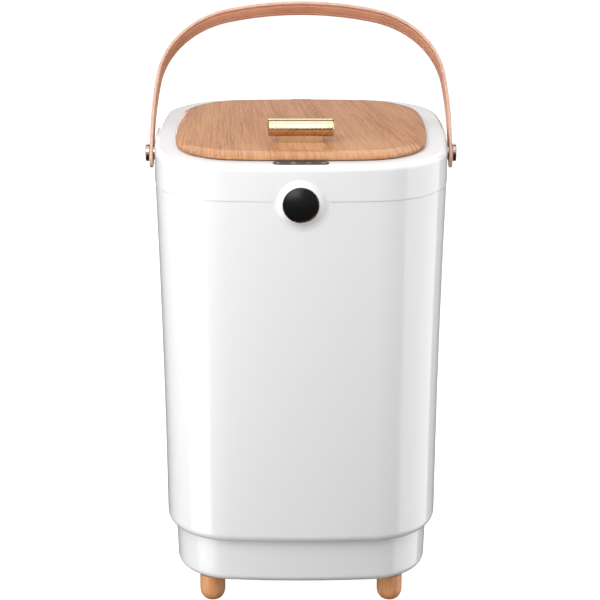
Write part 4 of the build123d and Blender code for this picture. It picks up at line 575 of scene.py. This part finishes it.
def lens_profile(radius, thickness):
    """Half section of the glass, from the middle of its front round to the middle of its back."""
    dome_radius = radius - LENS_RIM_ROUND
    profile = [(0.0, 0.0)]
    for i in range(1, LENS_DOME_STEPS + 1):
        r = dome_radius * i / LENS_DOME_STEPS
        profile.append((r, LENS_RISE * (r / radius) ** 2))
    edge_depth = profile[-1][1]
    for i in range(1, LENS_RIM_STEPS + 1):
        angle = math.pi / 2 * i / LENS_RIM_STEPS
        depth = edge_depth + LENS_RIM_ROUND * (1 - math.cos(angle))
        profile.append((dome_radius + LENS_RIM_ROUND * math.sin(angle), depth))
    return profile + [(radius, thickness), (0.0, thickness)]


def build_lens():
    """Display glass: a shallow dome with a rounded rim, in the place of the flat CAD disc."""
    low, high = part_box("display_lens")
    centre_z = (low.z + high.z) / 2
    profile = lens_profile((high.x - low.x) / 2, high.y - low.y)
    points = []
    for r, depth in profile:
        for turn in range(LENS_TURNS):
            angle = 2 * math.pi * turn / LENS_TURNS
            points.append((r * math.cos(angle), low.y + depth, centre_z + r * math.sin(angle)))
    faces = ring_quads(len(profile), LENS_TURNS)
    lens = new_piece("domed_lens", points, faces, (LOOKS["black_glass"],), "housing")
    tidy_mesh(lens.data)
    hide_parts("display_lens")


# Status icons, printed on the strip. Each outline is drawn round the icon's middle.
def drop_outline(size):
    """Water drop: a point above a round belly."""
    steps, belly, belly_drop = 24, 0.30 * size, 0.16 * size
    outline = [(0.0, 0.5 * size)]
    for i in range(steps):
        angle = math.pi * (0.80 + 1.40 * i / (steps - 1))
        outline.append((belly * math.cos(angle), belly * math.sin(angle) - belly_drop))
    return outline


def wheel_outline(size):
    """Toothed wheel: four corners for each tooth."""
    teeth, root, tip = 8, 0.36 * size, 0.5 * size
    outline = []
    for tooth in range(teeth):
        for share, reach in ((-0.28, root), (-0.17, tip), (0.17, tip), (0.28, root)):
            angle = 2 * math.pi * (tooth + share) / teeth
            outline.append((reach * math.cos(angle), reach * math.sin(angle)))
    return outline


def fan_outline(size):
    """Fan of three swept blades round a hub."""
    steps, blades, sweep, hub, blade = 72, 3, 0.8, 0.16 * size, 0.34 * size
    outline = []
    for i in range(steps):
        angle = 2 * math.pi * i / steps
        lobe = math.sin(blades * angle + sweep * math.sin(blades * angle))
        reach = hub + blade * max(0.0, lobe) ** 0.6
        outline.append((reach * math.cos(angle), reach * math.sin(angle)))
    return outline


def leaf_outline(size):
    """Leaf, pointed at both ends."""
    steps, half_width = 16, 0.27 * size
    outline = []
    for side in (1, -1):
        for i in range(steps):
            share = i / steps
            across = half_width * math.sin(math.pi * share) ** 0.8
            outline.append(((share - 0.5) * size * side, across * side))
    return outline


ICONS = (drop_outline, wheel_outline, fan_outline, leaf_outline)
ICON_PITCH = 14.9 * MM
ICON_SIZE = 5.4 * MM
ICON_INK = 0.04 * MM
ICON_MERGE = 0.001 * MM


def build_icons():
    """The printed icons, in one piece, a hair proud of the strip."""
    low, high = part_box("indicator_strip")
    centre_y = (low.y + high.y) / 2
    points, faces = [], []
    for place, outline in enumerate(ICONS):
        centre_x = (place - (len(ICONS) - 1) / 2) * ICON_PITCH
        ring = outline(ICON_SIZE)
        start = len(points)
        for level in (high.z, high.z + ICON_INK):
            points += [(centre_x + x, centre_y + y, level) for x, y in ring]
        faces += end_faces(2, len(ring), start) + ring_quads(2, len(ring), start)
    icons = new_piece("status_icons", points, faces, (ICON_PRINT,), "housing", smooth=False)
    tidy_mesh(icons.data, ICON_MERGE)


# ---- Studio and camera ------------------------------------------------------------------------
FLOOR_HALF = 40.0
FLOOR_GLOW = 0.96


def build_floor():
    """Plain pale floor, bright enough to leave only a faint shadow under the object."""
    s = Surface("floor", Roughness=0.7, Emission_Color=(1, 1, 1, 1), Emission_Strength=FLOOR_GLOW)
    greys = ((0.3, (0.31, 0.31, 0.31)), (0.7, (0.33, 0.33, 0.33)))
    s.feed("Base Color", s.ramp(s.noise(s.place, 3.0), greys))
    corners = [(FLOOR_HALF * x, FLOOR_HALF * y, 0) for x, y in ((-1, -1), (1, -1), (1, 1), (-1, 1))]
    floor = mesh_object("floor", corners, [(0, 1, 2, 3)], (s.material,))
    floor.visible_diffuse = False
    floor.visible_glossy = False
    floor.visible_shadow = False


BACKDROP_LIGHT = 1.1
SKY_LIGHT = 0.20
GROUND_LIGHT = 0.05
HORIZON_LOW = -0.45
HORIZON_HIGH = 0.05


def room_light(tree):
    """Strength of the surroundings as light: a bright room above a dim ground."""
    direction = tree.nodes.new("ShaderNodeTexCoord")
    height = tree.nodes.new("ShaderNodeSeparateXYZ")
    horizon = tree.nodes.new("ShaderNodeMapRange")
    horizon.interpolation_type = "SMOOTHSTEP"
    horizon.inputs["From Min"].default_value = HORIZON_LOW
    horizon.inputs["From Max"].default_value = HORIZON_HIGH
    horizon.inputs["To Min"].default_value = GROUND_LIGHT
    horizon.inputs["To Max"].default_value = SKY_LIGHT
    tree.links.new(direction.outputs["Generated"], height.inputs["Vector"])
    tree.links.new(height.outputs["Z"], horizon.inputs["Value"])
    return horizon.outputs["Result"]


def build_world():
    """Surroundings: plain white to the camera, and the room's light to everything else."""
    world = bpy.data.worlds.new("studio")
    bpy.context.scene.world = world
    world.use_nodes = True
    tree = world.node_tree
    tree.nodes.clear()
    ray = tree.nodes.new("ShaderNodeLightPath")
    seen = tree.nodes.new("ShaderNodeBackground")
    light = tree.nodes.new("ShaderNodeBackground")
    mix = tree.nodes.new("ShaderNodeMixShader")
    out = tree.nodes.new("ShaderNodeOutputWorld")
    seen.inputs["Strength"].default_value = BACKDROP_LIGHT
    for background in (seen, light):
        background.inputs["Color"].default_value = (1, 1, 1, 1)
    tree.links.new(room_light(tree), light.inputs["Strength"])
    tree.links.new(ray.outputs["Is Camera Ray"], mix.inputs["Fac"])
    tree.links.new(light.outputs["Background"], mix.inputs[1])
    tree.links.new(seen.outputs["Background"], mix.inputs[2])
    tree.links.new(mix.outputs["Shader"], out.inputs["Surface"])


def softbox(name, place, target, width, height, radiance):
    """A rectangular area light aimed at a point, with its brightness as seen in a mirror."""
    light = bpy.data.lights.new(name, "AREA")
    light.shape = "RECTANGLE"
    light.size, light.size_y = width, height
    light.energy = radiance * math.pi * width * height
    holder = bpy.data.objects.new(name, light)
    bpy.context.scene.collection.objects.link(holder)
    holder.location = place
    holder.rotation_euler = (Vector(target) - Vector(place)).to_track_quat("-Z", "Y").to_euler()
    holder.visible_camera = False


# Each softbox: name, place, point it is aimed at, width, height, radiance.
def light_front():
    """Key light, a tall panel at each side, soft light from above and a wide fill."""
    softbox("key_softbox", (-0.45, -0.72, 0.98), (0, -0.14, 0.40), 0.60, 0.60, 4.1)
    softbox("left_panel", (-0.58, -0.417, 0.45), (-0.1, -0.13, 0.45), 0.43, 1.5, 1.75)
    softbox("right_panel", (0.60, -0.14, 0.35), (0.1, -0.14, 0.35), 0.70, 1.3, 1.5)
    softbox("top_softbox", (0.0, -0.45, 1.75), (0, -0.1, 0.4), 1.3, 1.5, 1.7)
    softbox("front_fill", (-0.2, -3.2, 2.3), (0, 0, 0.3), 2.6, 2.6, 0.85)


def light_details():
    """A strip for the pull bar to mirror, a card for the display glass, and a lift for the base."""
    softbox("bar_strip", (0.0, -2.6, 1.75), (0, -0.07, 0.50), 0.08, 2.3, 5.5)
    softbox("lens_card", (-0.52, -2.4, 0.32), (0, -0.14, 0.44), 1.0, 0.45, 1.3)
    softbox("left_low", (-0.62, -0.45, -0.02), (-0.1, -0.1, 0.08), 0.35, 0.45, 1.9)


def light_back():
    """Fill and glow from behind, and two lights for the lid's and the rim's far left edges."""
    softbox("back_fill", (0, 1.9, 2.0), (0, 0, 0.3), 3.2, 1.2, 1.9)
    softbox("back_glow", (0, 3.0, 1.25), (0, 0, 0.5), 4.0, 1.0, 0.28)
    softbox("lid_edge_light", (-1.3, 0.6, 1.85), (-0.12, -0.08, 0.49), 0.7, 0.5, 3.5)
    softbox("rim_strip", (-0.75, 2.3, 0.62), (-0.1, 0.1, 0.5), 0.5, 0.36, 4.0)


CAMERA_BACK = 1.9522
CAMERA_HEIGHT = 0.9827
CAMERA_TILT = 0.336
CAMERA_SHIFT = -0.0016667
FOCAL_WIDTHS = 3.2315
SENSOR = 36.0


def build_camera():
    """Camera in front of the object, looking down at it a little."""
    data = bpy.data.cameras.new("camera")
    data.sensor_width = SENSOR
    data.lens = FOCAL_WIDTHS * SENSOR
    data.shift_x = CAMERA_SHIFT
    camera = bpy.data.objects.new("camera", data)
    bpy.context.scene.collection.objects.link(camera)
    camera.location = (0, -CAMERA_BACK, CAMERA_HEIGHT)
    camera.rotation_euler = (math.pi / 2 - CAMERA_TILT, 0, 0)
    bpy.context.scene.camera = camera


bpy.context.scene.view_settings.view_transform = "Standard"
dress_cad_nodes()
build_bail()
build_lens()
build_icons()
build_floor()
build_world()
light_front()
light_details()
light_back()
build_camera()
